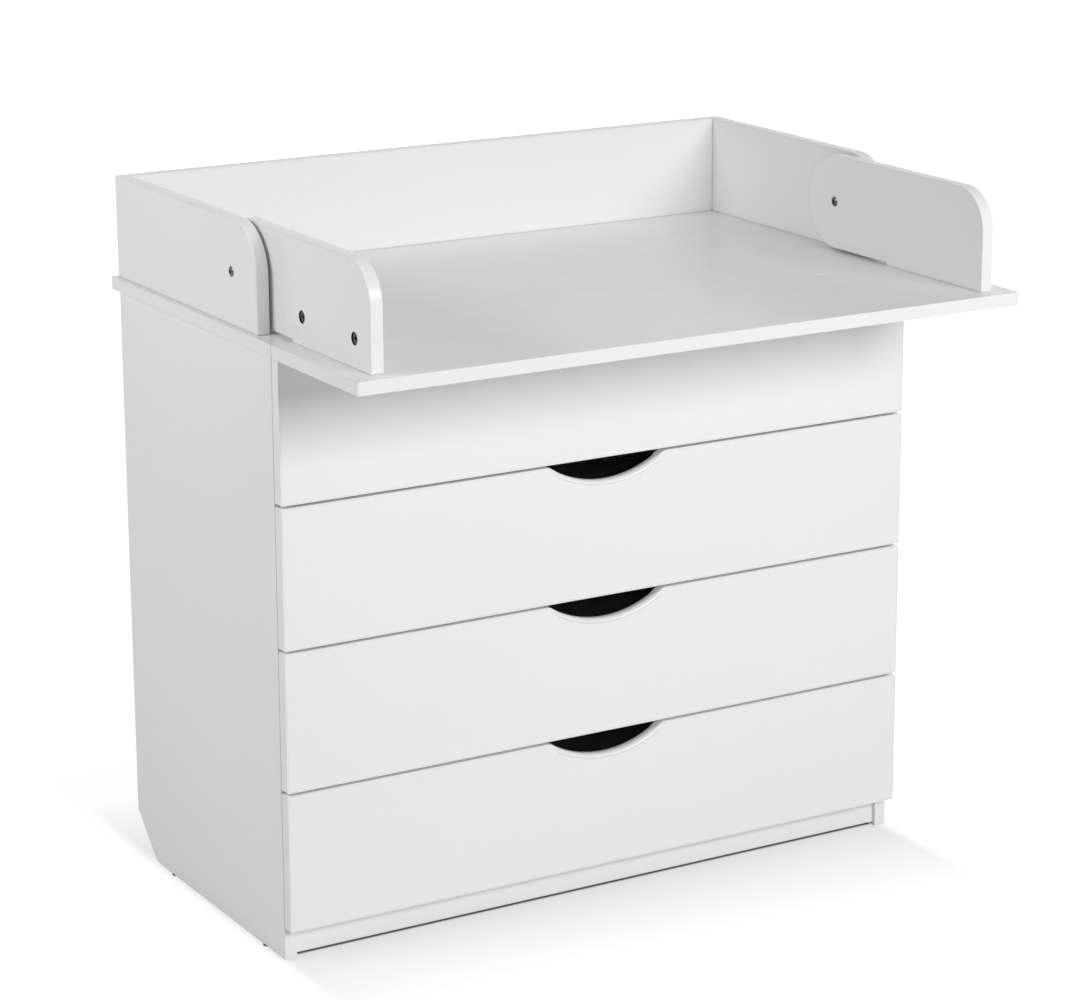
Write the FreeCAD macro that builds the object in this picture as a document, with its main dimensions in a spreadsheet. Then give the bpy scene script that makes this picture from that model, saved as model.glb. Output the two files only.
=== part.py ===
import FreeCAD, Part
import enum
import math
import os

import Sketcher
from FreeCAD import Placement, Rotation, Vector

# A changing dresser in laminated board: a case with four full-width drawers
# on telescopic runners, and a changing top whose front half folds back over
# the rear half.  Millimetres, +Z up, +Y towards the wall behind it.  The origin is
# on the floor, under the middle of the opened-out top.

DRAWER_COUNT = 4
BACK_SCREW_COUNT = 4

# --------------------------------------------------------------------------
# Driving dimensions: alias, value, meaning
# --------------------------------------------------------------------------
SIZES = [
    ("board", 16, "thickness of the laminated boards"),
    ("case_width", 880, "over the two side panels"),
    ("case_depth", 426, "front to rear of a side panel"),
    ("case_height", 742, "height of a side panel"),
    ("skirting_cut", 55, "corner cut off for the skirting board, along both edges"),
    ("skirting_round", 20, "rounding at the lower end of that cut"),
    ("glide_height", 3, "nail-on glide below the side panel"),
    ("glide_radius", 7.5, "nail-on glide"),
    ("glide_front_setback", 60, "front glide, from the side panel's front edge"),
    ("glide_rear_setback", 102, "rear glide, from the side panel's rear edge"),
    ("bottom_height", 46, "side panel's lower edge to the underside of the bottom panel"),
    ("plinth_setback", 5, "plinth behind the side panels' front edges"),
    ("plinth_lift", 4.5, "plinth's lower edge above the side panels'"),
    ("back_thickness", 3, "hardboard back"),
    ("back_inset", 12, "back panel in from the side panels' rear edges"),
    ("groove_depth", 6, "grooves that hold the hardboard"),
    ("groove_play", 0.2, "groove wider and deeper than the hardboard"),
    ("top_side_overhang", 10, "top board past a side panel"),
    ("top_front_overhang", 20, "fixed rear board past the side panels' front edges"),
    ("top_rear_overhang", 3, "fixed rear board past the side panels' rear edges"),
    ("joint_gap", 0.5, "between the fixed board and the flap board"),
    ("flap_depth", 213.5, "flap board, front to rear"),
    ("wall_height", 127, "rear walls above the top board"),
    ("wall_inset", 7, "rear walls in from the top board's edges"),
    ("wall_front_setback", 47, "side wall's front edge behind the board joint"),
    ("wall_round", 60, "front top corner of a rear side wall"),
    ("wall_gap", 4, "between a rear side wall and the flap wall inside it"),
    ("fold_gap", 0.5, "folded flap board above the rear walls"),
    ("pivot_setback", 66, "pivot behind the rear side wall's front edge"),
    ("flap_wall_setback", 20, "flap wall's front edge behind the flap board's"),
    ("flap_wall_lift", 3.5, "flap wall above the fixed board"),
    ("flap_wall_round", 50, "front top corner of a flap wall"),
    ("front_gap", 3, "between two drawer fronts"),
    ("front_top_gap", 5, "uppermost drawer front below the top board"),
    ("front_bottom", 40, "lowest drawer front above the side panels' lower edges"),
    ("front_standoff", 1, "drawer front ahead of the side panels' front edges"),
    ("grip_half_width", 83, "finger cut-out, middle to end, on the front's top edge"),
    ("grip_depth", 26, "finger cut-out below the front's top edge"),
    ("grip_lip", 25, "radius where the cut-out rolls into the top edge"),
    ("box_lift", 30, "drawer box above the lower edge of its front"),
    ("box_drop", 1, "drawer box's upper edge below the finger cut-out"),
    ("box_overrun", 2, "drawer box past the rear ends of its runners"),
    ("box_board", 12, "thickness of the drawer box sides and back"),
    ("box_floor", 3, "hardboard drawer bottom"),
    ("box_floor_lift", 9, "drawer bottom above the lower edges of the box sides"),
    ("runner_space", 13, "side panel to drawer box, filled by the runner"),
    ("runner_sheet", 1.2, "steel sheet of the runner"),
    ("runner_height", 45, "outer member of the runner"),
    ("runner_setback", 2, "runner behind the side panels' front edges"),
    ("runner_rear_gap", 9, "runner's rear end to the back panel"),
    ("runner_lift", 40, "middle of the runner above the drawer box's lower edge"),
    ("runner_step", 4, "one member's flange to the flange nested in it"),
    ("runner_nest", 2.5, "one member's web to the web or flange tip nested in it"),
    ("runner_tip_gap", 1, "flange tips of the middle member to the drawer box"),
    ("cage_play", 0.3, "ball cage to the member that rolls on it"),
    ("cage_width", 3.2, "ball cage"),
    ("cam_radius", 7.5, "cam housing"),
    ("cam_depth", 12.5, "cam housing in a thick board"),
    ("cam_depth_thin", 9.5, "cam housing in a drawer side"),
    ("cam_reach", 34, "cam centre from the joint"),
    ("cam_reach_short", 24, "cam centre from the joint, in a drawer side"),
    ("cam_setback", 70, "connector from the end of its joint"),
    ("cam_box_setback", 25, "connector from the edge of a drawer side"),
    ("flap_cam_setback", 38.5, "front connector from the flap wall's front edge"),
    ("flap_cam_pitch", 128, "between the two connectors of a flap wall"),
    ("bolt_radius", 3, "cam bolt"),
    ("bolt_bite", 11, "cam bolt's thread in the other board"),
    ("bolt_overrun", 1.5, "cam bolt past the cam's centre"),
    ("drill_play", 0.1, "radial play of a fitting in its drilled hole"),
    ("screw_radius", 3.5, "wall screw"),
    ("screw_length", 50, "wall screw with its head"),
    ("screw_head_radius", 5, "wall screw's head"),
    ("screw_head_height", 3, "wall screw's head"),
    ("screw_setback", 30, "wall screw from the end of a side wall"),
    ("screw_back_setback", 80, "wall screw from the end of the back wall"),
    ("dowel_radius", 4, "wooden dowel"),
    ("dowel_length", 24, "wooden dowel"),
    ("dowel_setback", 30, "dowel from the back wall's upper and lower edges"),
    ("pivot_radius", 3, "pivot screw's shank"),
    ("pivot_play", 0.05, "running clearance of the pivot screw in its sleeve"),
    ("pivot_head_radius", 6.5, "heads of the pivot screw and sleeve"),
    ("pivot_head_height", 2, "heads of the pivot screw and sleeve"),
    ("pivot_head_edge", 0.8, "straight rim of those heads"),
    ("sleeve_radius", 4, "pivot sleeve"),
    ("sleeve_recess", 0.5, "sleeve's end below the flap wall's outer face"),
    ("sleeve_floor", 1.5, "solid end of the sleeve under its head"),
    ("washer_radius", 8, "spacer washer between the walls"),
    ("washer_play", 0.4, "spacer washer to the flap wall"),
]

document = FreeCAD.newDocument("changing_dresser")
sheet = document.addObject("Spreadsheet::Sheet", "sizes")
for row, (alias, value, meaning) in enumerate(SIZES, start=1):
    sheet.set("A%d" % row, meaning)
    sheet.set("B%d" % row, str(value))
    sheet.setAlias("B%d" % row, alias)
document.recompute()


class Size:
    """A length known both as a number and as the sheet formula it comes from."""

    def __init__(self, value, formula):
        self.value = value
        self.formula = formula

    def __add__(self, other):
        other = as_size(other)
        return Size(self.value + other.value, "(%s + %s)" % (self.formula, other.formula))

    def __sub__(self, other):
        other = as_size(other)
        return Size(self.value - other.value, "(%s - %s)" % (self.formula, other.formula))

    def __mul__(self, other):
        other = as_size(other)
        return Size(self.value * other.value, "(%s * %s)" % (self.formula, other.formula))

    def __truediv__(self, other):
        other = as_size(other)
        return Size(self.value / other.value, "(%s / %s)" % (self.formula, other.formula))

    def __neg__(self):
        return self * -1


def as_size(length):
    """The length itself, or a plain number written as a size."""
    return length if isinstance(length, Size) else Size(length, str(length))


class Sheet:
    """Reads a cell of the sheet as a Size: dims.board is the cell named board."""

    def __getattr__(self, alias):
        return Size(float(sheet.get(alias)), "sizes." + alias)


dims = Sheet()

# How near two places are that count as one.
SAME_PLACE = 0.01

# --------------------------------------------------------------------------
# Places worked out from the driving dimensions
# --------------------------------------------------------------------------
# A side's sign is -1 on the left and 1 on the right, as X is.
SIDES = [("left", -1), ("right", 1)]
SIGNS = [sign for name, sign in SIDES]

# front to rear
top_depth = dims.top_front_overhang + dims.case_depth + dims.top_rear_overhang
top_rear = (dims.flap_depth + dims.joint_gap + top_depth) / 2
top_front = top_rear - top_depth
flap_rear = top_front - dims.joint_gap
flap_front = flap_rear - dims.flap_depth
case_front = top_front + dims.top_front_overhang
case_rear = case_front + dims.case_depth
front_back = case_front - dims.front_standoff
back_rear = case_rear - dims.back_inset
back_front = back_rear - dims.back_thickness
wall_front = top_front + dims.wall_front_setback
wall_rear = top_rear - dims.wall_inset
pivot_y = wall_front + dims.pivot_setback
flap_wall_front = flap_front + dims.flap_wall_setback

# floor to top
side_bottom = dims.glide_height
side_top = side_bottom + dims.case_height
bottom_under = side_bottom + dims.bottom_height
deck = side_top + dims.board
wall_top = deck + dims.wall_height
pivot_height = (dims.wall_height + dims.fold_gap) / 2
pivot_z = deck + pivot_height
flap_wall_radius = pivot_height - dims.flap_wall_lift

# middle to side
case_half = dims.case_width / 2
inner_half = case_half - dims.board
top_half = case_half + dims.top_side_overhang
wall_outer = top_half - dims.wall_inset
wall_inner = wall_outer - dims.board
flap_wall_outer = wall_inner - dims.wall_gap
flap_wall_inner = flap_wall_outer - dims.board
box_half = inner_half - dims.runner_space


fronts_height = dims.case_height - dims.front_bottom - dims.front_top_gap
front_height = (fronts_height - dims.front_gap * (DRAWER_COUNT - 1)) / DRAWER_COUNT


def drawer_bottom(number):
    """Lower edge of drawer front 1 (top) to DRAWER_COUNT (bottom)."""
    step = front_height + dims.front_gap
    return side_bottom + dims.front_bottom + step * (DRAWER_COUNT - number)


# --------------------------------------------------------------------------
# Building blocks
# --------------------------------------------------------------------------
# A sketch's own directions: XY_Plane has (X, Y) and looks along +Z, XZ_Plane has
# (X, Z) and looks along -Y, YZ_Plane has (Y, Z) and looks along +X.
subparts = []


class Spot(enum.IntEnum):
    """The points of a sketch edge, in the order in which sketches number them."""

    START = enum.auto()
    END = enum.auto()
    CENTRE = enum.auto()


def bind(target, attribute, length):
    """Tie an object's property to the sheet."""
    target.setExpression(attribute, as_size(length).formula)


def new_body(label):
    """An empty body that becomes one sub-part."""
    body = document.addObject("PartDesign::Body", label)
    body.Label = label
    subparts.append(body)
    return body


def new_sketch(body, plane_role, offset):
    """A sketch on one of the body's own planes, moved along the plane's normal."""
    planes = [plane for plane in body.Origin.OriginFeatures if plane.Role == plane_role]
    sketch = body.newObject("Sketcher::SketchObject", body.Label + "_sketch")
    sketch.AttachmentSupport = [(planes[0], "")]
    sketch.MapMode = "FlatFace"
    bind(sketch, "AttachmentOffset.Base.z", offset)
    return sketch


def constrain(sketch, length, kind, *target):
    """Add a constraint that has a length, tied to the sheet."""
    index = sketch.addConstraint(Sketcher.Constraint(kind, *target, length.value))
    bind(sketch, "Constraints[%d]" % index, length)


def join(sketch, kind, edge, spot, other, other_spot):
    """Join the ends of two edges, "Coincident" or "Tangent"."""
    sketch.addConstraint(Sketcher.Constraint(kind, edge, spot, other, other_spot))


def place_point(sketch, edge, spot, u, v):
    """Fix one point of a sketch edge at (u, v)."""
    constrain(sketch, u, "DistanceX", edge, spot)
    constrain(sketch, v, "DistanceY", edge, spot)


def draw_chain(sketch, corners):
    """Straight edges from the first corner to the last, in order."""
    points = [Vector(u.value, v.value, 0) for u, v in corners]
    edges = [sketch.addGeometry(Part.LineSegment(start, end))
             for start, end in zip(points, points[1:])]
    for edge, following in zip(edges, edges[1:]):
        join(sketch, "Coincident", edge, Spot.END, following, Spot.START)
    for edge, (u, v) in zip(edges, corners):
        place_point(sketch, edge, Spot.START, u, v)
    place_point(sketch, edges[-1], Spot.END, *corners[-1])
    return edges


def draw_outline(sketch, corners):
    """A closed outline of straight edges through the corners, in order."""
    edges = draw_chain(sketch, corners)
    start, end = [Vector(u.value, v.value, 0) for u, v in (corners[-1], corners[0])]
    closing = sketch.addGeometry(Part.LineSegment(start, end))
    join(sketch, "Coincident", edges[-1], Spot.END, closing, Spot.START)
    join(sketch, "Coincident", closing, Spot.END, edges[0], Spot.START)


def draw_arc(sketch, u, v, radius, start_angle, end_angle):
    """An arc about (u, v) that runs counter-clockwise, angles in radians."""
    circle = Part.Circle(Vector(u.value, v.value, 0), Vector(0, 0, 1), radius.value)
    return sketch.addGeometry(Part.ArcOfCircle(circle, start_angle, end_angle))


def draw_rectangle(sketch, u_range, v_range):
    """A rectangle over two ranges."""
    (u_low, u_high), (v_low, v_high) = u_range, v_range
    draw_outline(sketch, [(u_low, v_low), (u_high, v_low), (u_high, v_high), (u_low, v_high)])


def draw_circles(sketch, centres, radius):
    """Equal circles."""
    for u, v in centres:
        centre = Vector(u.value, v.value, 0)
        circle = sketch.addGeometry(Part.Circle(centre, Vector(0, 0, 1), radius.value))
        place_point(sketch, circle, Spot.CENTRE, u, v)
        constrain(sketch, radius, "Radius", circle)


def pad(body, sketch, length):
    """Extrude along the sketch plane's normal."""
    feature = body.newObject("PartDesign::Pad", body.Label + "_pad")
    feature.Profile = sketch
    bind(feature, "Length", length)
    document.recompute()


def pocket(body, sketch, depth, along_normal):
    """Cut the sketch into the body, along its plane's normal or against it."""
    before = body.Shape.Volume
    feature = body.newObject("PartDesign::Pocket", body.Label + "_pocket")
    feature.Profile = sketch
    feature.Reversed = along_normal
    bind(feature, "Length", depth)
    document.recompute()
    if not body.Shape.Volume < before:
        raise RuntimeError("a pocket cut nothing from " + body.Label)


def drill(body, plane_role, offset, centres, radius, depth, along_normal):
    """Round holes of one size, started at a plane of the body."""
    sketch = new_sketch(body, plane_role, offset)
    draw_circles(sketch, centres, radius + dims.drill_play)
    pocket(body, sketch, depth, along_normal)


def groove(body, plane_role, offset, u_range, v_range, depth, along_normal):
    """A rectangular groove, started at a plane of the body."""
    sketch = new_sketch(body, plane_role, offset)
    draw_rectangle(sketch, u_range, v_range)
    pocket(body, sketch, depth, along_normal)


def round_corner(body, radius, y, z):
    """Fillet the one edge that runs along X at (y, z)."""
    names = []
    for number, edge in enumerate(body.Shape.Edges, start=1):
        apart = edge.CenterOfMass - Vector(edge.CenterOfMass.x, y.value, z.value)
        along_x = isinstance(edge.Curve, Part.Line) and abs(edge.Curve.Direction.x) > 0.999
        if along_x and apart.Length < SAME_PLACE:
            names.append("Edge%d" % number)
    if len(names) != 1:
        raise RuntimeError("corner to round not found on " + body.Label)
    base = body.Tip
    fillet = body.newObject("PartDesign::Fillet", body.Label + "_fillet")
    fillet.Base = (base, names)
    bind(fillet, "Radius", radius)
    document.recompute()


def board_body(label, x_range, y_range, z_range):
    """A plain rectangular board."""
    body = new_body(label)
    sketch = new_sketch(body, "XY_Plane", z_range[0])
    draw_rectangle(sketch, x_range, y_range)
    pad(body, sketch, z_range[1] - z_range[0])
    return body


def upright_range(side, near, far):
    """The x range of a board that stands on one side of the middle, low value first."""
    return (near, far) if side > 0 else (-far, -near)


def mirrored_range(half):
    """The x range of a board that runs across the middle."""
    return (-half, half)


def cylinder(name, radius, height, axis, base):
    """A cylinder from base (x, y, z), along +axis."""
    solid = document.addObject("Part::Cylinder", name)
    solid.Placement = Placement(Vector(), Rotation(Vector(0, 0, 1), axis))
    bind(solid, "Radius", radius)
    bind(solid, "Height", height)
    for letter, length in zip("xyz", base):
        bind(solid, "Placement.Base." + letter, length)
    return solid


def cone(name, radius_low, radius_high, height, axis, base):
    """A cone frustum from base (x, y, z), along +axis."""
    solid = document.addObject("Part::Cone", name)
    solid.Placement = Placement(Vector(), Rotation(Vector(0, 0, 1), axis))
    bind(solid, "Radius1", radius_low)
    bind(solid, "Radius2", radius_high)
    bind(solid, "Height", height)
    for letter, length in zip("xyz", base):
        bind(solid, "Placement.Base." + letter, length)
    return solid


def fuse(name, solids):
    """One solid from several."""
    result = document.addObject("Part::MultiFuse", name)
    result.Shapes = solids
    return result


def cut(name, base, tool):
    """One solid less another."""
    result = document.addObject("Part::Cut", name)
    result.Base = base
    result.Tool = tool
    return result


def group(label, solids):
    """Equal pieces of one kind, kept as separate solids of one sub-part."""
    result = document.addObject("Part::Compound", label)
    result.Label = label
    result.Links = solids
    subparts.append(result)


def shifted(base, axis, length):
    """The point base (x, y, z) moved along a unit axis."""
    return [as_size(start) + length * step for start, step in zip(base, axis)]


# --------------------------------------------------------------------------
# Fittings
# --------------------------------------------------------------------------
def cam_connector(name, joint, axis, face_axis, reach, depth, board):
    """A cam housing and its bolt.

    joint is the point of the joint that the bolt crosses, axis points from there
    into the board that holds the cam, and face_axis out of the face that shows the
    cam's round end.  Returns the housing and the bolt.
    """
    inward = Vector(*axis)
    outward = Vector(*face_axis)
    centre = shifted(joint, axis, reach)
    face = shifted(centre, face_axis, board / 2)
    disc = cylinder(name + "_disc", dims.cam_radius, depth, outward,
                    shifted(face, face_axis, -depth))
    mouth = cylinder(name + "_mouth", dims.bolt_radius + dims.drill_play,
                     dims.cam_radius + dims.bolt_overrun, inward,
                     shifted(centre, axis, -dims.cam_radius))
    housing = cut(name + "_housing", disc, mouth)
    bolt = cylinder(name + "_bolt", dims.bolt_radius,
                    dims.bolt_bite + reach + dims.bolt_overrun, inward,
                    shifted(joint, axis, -dims.bolt_bite))
    return housing, bolt


# --------------------------------------------------------------------------
# Case
# --------------------------------------------------------------------------
case_joint_ys = [case_front + dims.cam_setback, back_front - dims.cam_setback]
bottom_middle = bottom_under + dims.board / 2
plinth_front = case_front + dims.plinth_setback
plinth_rear = plinth_front + dims.board
plinth_bottom = side_bottom + dims.plinth_lift
plinth_middle_y = plinth_front + dims.board / 2
plinth_middle_z = (plinth_bottom + bottom_under) / 2
side_middle = case_half - dims.board / 2
top_screw_x = wall_outer - dims.board / 2
wall_screw_ys = [wall_front + dims.screw_setback,
                 (wall_front + wall_rear) / 2,
                 wall_rear - dims.board - dims.screw_setback]
back_wall_y = wall_rear - dims.board / 2
back_screw_end = wall_inner - dims.screw_back_setback
back_screw_pitch = back_screw_end * 2 / (BACK_SCREW_COUNT - 1)
side_screw_places = [(top_screw_x * side, y) for side in SIGNS for y in wall_screw_ys]
back_screw_places = [(back_screw_pitch * step - back_screw_end, back_wall_y)
                     for step in range(BACK_SCREW_COUNT)]
wall_screw_places = side_screw_places + back_screw_places
dowel_zs = [deck + dims.dowel_setback, wall_top - dims.dowel_setback]


def make_side_panel(name, side):
    """Side panel with the skirting cut, the back groove and the joint drillings."""
    body = new_body("side_panel_" + name)
    x_range = upright_range(side, inner_half, case_half)
    outline = new_sketch(body, "YZ_Plane", x_range[0])
    draw_outline(outline, [
        (case_front, side_bottom),
        (case_rear - dims.skirting_cut, side_bottom),
        (case_rear, side_bottom + dims.skirting_cut),
        (case_rear, side_top),
        (case_front, side_top),
    ])
    pad(body, outline, dims.board)
    round_corner(body, dims.skirting_round, case_rear - dims.skirting_cut, side_bottom)

    inner_face = inner_half * side
    outwards = side > 0
    groove(body, "YZ_Plane", inner_face, (back_front, back_rear + dims.groove_play),
           (bottom_under, side_top), dims.groove_depth, outwards)
    cams = [(y, side_top - dims.cam_reach) for y in case_joint_ys]
    drill(body, "YZ_Plane", inner_face, cams, dims.cam_radius, dims.cam_depth, outwards)
    bolt_holes = [(y, bottom_middle) for y in case_joint_ys]
    bolt_holes.append((plinth_middle_y, plinth_middle_z))
    drill(body, "YZ_Plane", inner_face, bolt_holes, dims.bolt_radius, dims.bolt_bite, outwards)
    channels = [(side_middle * side, y) for y in case_joint_ys]
    drill(body, "XY_Plane", side_top, channels, dims.bolt_radius, dims.cam_reach, False)


def make_bottom_panel():
    """Bottom panel between the sides, with its cam drillings underneath."""
    body = board_body("bottom_panel", mirrored_range(inner_half), (case_front, back_front),
                      (bottom_under, bottom_under + dims.board))
    cams = [((inner_half - dims.cam_reach) * side, y)
            for side in SIGNS for y in case_joint_ys]
    drill(body, "XY_Plane", bottom_under, cams, dims.cam_radius, dims.cam_depth, True)
    for side in SIGNS:
        ends = [(y, bottom_middle) for y in case_joint_ys]
        drill(body, "YZ_Plane", inner_half * side, ends, dims.bolt_radius,
              dims.cam_reach, side < 0)


def make_plinth():
    """Plinth board set back between the side panels."""
    body = board_body("plinth", mirrored_range(inner_half), (plinth_front, plinth_rear),
                      (plinth_bottom, bottom_under))
    cams = [((inner_half - dims.cam_reach) * side, plinth_middle_z) for side in SIGNS]
    drill(body, "XZ_Plane", -plinth_rear, cams, dims.cam_radius, dims.cam_depth, True)
    for side in SIGNS:
        drill(body, "YZ_Plane", inner_half * side, [(plinth_middle_y, plinth_middle_z)],
              dims.bolt_radius, dims.cam_reach, side < 0)


def make_back_panel():
    """Hardboard back, slid up the grooves of the side panels to the top board."""
    half = inner_half + dims.groove_depth - dims.groove_play
    board_body("back_panel", mirrored_range(half), (back_front, back_rear),
               (bottom_under, side_top - dims.groove_play))


def make_glides():
    """Four plastic glides nailed under the side panels."""
    glide_ys = [case_front + dims.glide_front_setback, case_rear - dims.glide_rear_setback]
    glides = []
    for name, side in SIDES:
        for y in glide_ys:
            glides.append(cylinder("glide_" + name, dims.glide_radius, dims.glide_height,
                                   Vector(0, 0, 1), (side_middle * side, y, 0)))
    group("glides", glides)


def make_case_connectors():
    """Cam connectors of the case: sides to top, bottom to sides, plinth to sides."""
    pairs = []
    for name, side in SIDES:
        for y in case_joint_ys:
            pairs.append(cam_connector("top_" + name, (side_middle * side, y, side_top),
                                       (0, 0, -1), (-side, 0, 0), dims.cam_reach,
                                       dims.cam_depth, dims.board))
            pairs.append(cam_connector("bottom_" + name, (inner_half * side, y, bottom_middle),
                                       (-side, 0, 0), (0, 0, -1), dims.cam_reach,
                                       dims.cam_depth, dims.board))
        pairs.append(cam_connector("plinth_" + name,
                                   (inner_half * side, plinth_middle_y, plinth_middle_z),
                                   (-side, 0, 0), (0, 1, 0), dims.cam_reach,
                                   dims.cam_depth, dims.board))
    group("case_cams", [housing for housing, bolt in pairs])
    group("case_bolts", [bolt for housing, bolt in pairs])


# --------------------------------------------------------------------------
# Fixed rear part of the changing top
# --------------------------------------------------------------------------
def make_top_board():
    """Fixed rear board of the changing top."""
    body = board_body("top_board", mirrored_range(top_half), (top_front, top_rear),
                      (side_top, deck))
    bolts = [(side_middle * side, y) for side in SIGNS for y in case_joint_ys]
    drill(body, "XY_Plane", side_top, bolts, dims.bolt_radius, dims.bolt_bite, True)
    drill(body, "XY_Plane", side_top, wall_screw_places, dims.screw_head_radius,
          dims.screw_head_height, True)
    drill(body, "XY_Plane", side_top, wall_screw_places, dims.screw_radius, dims.board, True)


def make_rear_side_wall(name, side):
    """Rear side wall with its rounded front corner and the pivot hole."""
    body = new_body("rear_wall_" + name)
    x_range = upright_range(side, wall_inner, wall_outer)
    outline = new_sketch(body, "YZ_Plane", x_range[0])
    draw_rectangle(outline, (wall_front, wall_rear), (deck, wall_top))
    pad(body, outline, dims.board)
    round_corner(body, dims.wall_round, wall_front, wall_top)
    drill(body, "YZ_Plane", x_range[0], [(pivot_y, pivot_z)], dims.pivot_radius,
          dims.board, True)
    bite = dims.screw_length - dims.board
    drill(body, "XY_Plane", deck, [(top_screw_x * side, y) for y in wall_screw_ys],
          dims.screw_radius, bite, True)
    drill(body, "YZ_Plane", wall_inner * side, [(back_wall_y, z) for z in dowel_zs],
          dims.dowel_radius, dims.dowel_length / 2, side > 0)


def make_back_wall():
    """Back wall between the two rear side walls."""
    body = board_body("back_wall", mirrored_range(wall_inner),
                      (wall_rear - dims.board, wall_rear), (deck, wall_top))
    drill(body, "XY_Plane", deck, back_screw_places, dims.screw_radius,
          dims.screw_length - dims.board, True)
    for side in SIGNS:
        drill(body, "YZ_Plane", wall_inner * side, [(back_wall_y, z) for z in dowel_zs],
              dims.dowel_radius, dims.dowel_length / 2, side < 0)


def make_wall_screws():
    """Screws driven up through the top board into the rear walls."""
    up = Vector(0, 0, 1)
    screws = []
    for x, y in wall_screw_places:
        head = cylinder("screw_head", dims.screw_head_radius, dims.screw_head_height, up,
                        (x, y, side_top))
        shank = cylinder("screw_shank", dims.screw_radius, dims.screw_length, up,
                         (x, y, side_top))
        screws.append(fuse("wall_screw", [head, shank]))
    group("wall_screws", screws)


def make_wall_dowels():
    """Dowels between the back wall's ends and the rear side walls."""
    dowels = []
    for side in SIGNS:
        for z in dowel_zs:
            start = wall_inner * side - dims.dowel_length / 2
            dowels.append(cylinder("dowel", dims.dowel_radius, dims.dowel_length,
                                   Vector(1, 0, 0), (start, back_wall_y, z)))
    group("wall_dowels", dowels)


def make_pivot_fixed_parts():
    """Pivot screws in the rear side walls, and the spacer washers on them."""
    screws, washers = [], []
    shank_end = flap_wall_inner + dims.sleeve_floor * 2
    for name, side in SIDES:
        inward = Vector(-side, 0, 0)
        outward = Vector(side, 0, 0)
        at_outer_face = (wall_outer * side, pivot_y, pivot_z)
        rim = cylinder("pivot_rim_" + name, dims.pivot_head_radius, dims.pivot_head_edge,
                       outward, at_outer_face)
        dome = cone("pivot_dome_" + name, dims.pivot_head_radius, dims.pivot_radius,
                    dims.pivot_head_height - dims.pivot_head_edge, outward,
                    ((wall_outer + dims.pivot_head_edge) * side, pivot_y, pivot_z))
        shank = cylinder("pivot_shank_" + name, dims.pivot_radius, wall_outer - shank_end,
                         inward, at_outer_face)
        screws.append(fuse("pivot_screw_" + name, [rim, dome, shank]))
        washer_width = dims.wall_gap - dims.washer_play
        at_inner_face = (wall_inner * side, pivot_y, pivot_z)
        ring = cylinder("washer_ring_" + name, dims.washer_radius, washer_width, inward,
                        at_inner_face)
        bore = cylinder("washer_bore_" + name, dims.pivot_radius + dims.drill_play,
                        washer_width, inward, at_inner_face)
        washers.append(cut("washer_" + name, ring, bore))
    group("pivot_screws", screws)
    group("pivot_washers", washers)


# --------------------------------------------------------------------------
# Folding front part of the changing top
# --------------------------------------------------------------------------
flap_wall_middle = flap_wall_outer - dims.board / 2
flap_cam_front = flap_wall_front + dims.flap_cam_setback
flap_cam_ys = [flap_cam_front, flap_cam_front + dims.flap_cam_pitch]


def make_flap_board():
    """Flap board, butted against the fixed board when it is opened out."""
    body = board_body("flap_board", mirrored_range(top_half), (flap_front, flap_rear),
                      (side_top, deck))
    bolts = [(flap_wall_middle * side, y) for side in SIGNS for y in flap_cam_ys]
    drill(body, "XY_Plane", deck, bolts, dims.bolt_radius, dims.bolt_bite, False)


def make_flap_wall(name, side):
    """Flap wall: its rear end is round about the pivot, clear of the fixed board."""
    body = new_body("flap_wall_" + name)
    x_range = upright_range(side, flap_wall_inner, flap_wall_outer)
    outline = new_sketch(body, "YZ_Plane", x_range[0])
    low = deck + dims.flap_wall_lift
    high = pivot_z + flap_wall_radius
    lines = draw_chain(outline, [
        (pivot_y, high), (flap_wall_front, high), (flap_wall_front, deck),
        (flap_rear, deck), (flap_rear, low), (pivot_y, low),
    ])
    arc = draw_arc(outline, pivot_y, pivot_z, flap_wall_radius, -math.pi / 2, math.pi / 2)
    join(outline, "Coincident", lines[-1], Spot.END, arc, Spot.START)
    join(outline, "Coincident", arc, Spot.END, lines[0], Spot.START)
    constrain(outline, pivot_y, "DistanceX", arc, Spot.CENTRE)
    pad(body, outline, dims.board)
    round_corner(body, dims.flap_wall_round, flap_wall_front, high)

    drill(body, "YZ_Plane", x_range[0], [(pivot_y, pivot_z)], dims.sleeve_radius,
          dims.board, True)
    cams = [(y, deck + dims.cam_reach) for y in flap_cam_ys]
    drill(body, "YZ_Plane", flap_wall_outer * side, cams, dims.cam_radius, dims.cam_depth,
          side < 0)
    channels = [(flap_wall_middle * side, y) for y in flap_cam_ys]
    drill(body, "XY_Plane", deck, channels, dims.bolt_radius, dims.cam_reach, True)


def make_flap_connectors():
    """Cam connectors that hold the flap walls on the flap board."""
    pairs = []
    for name, side in SIDES:
        for y in flap_cam_ys:
            pairs.append(cam_connector("flap_" + name, (flap_wall_middle * side, y, deck),
                                       (0, 0, 1), (side, 0, 0), dims.cam_reach,
                                       dims.cam_depth, dims.board))
    group("flap_cams", [housing for housing, bolt in pairs])
    group("flap_bolts", [bolt for housing, bolt in pairs])


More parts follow.
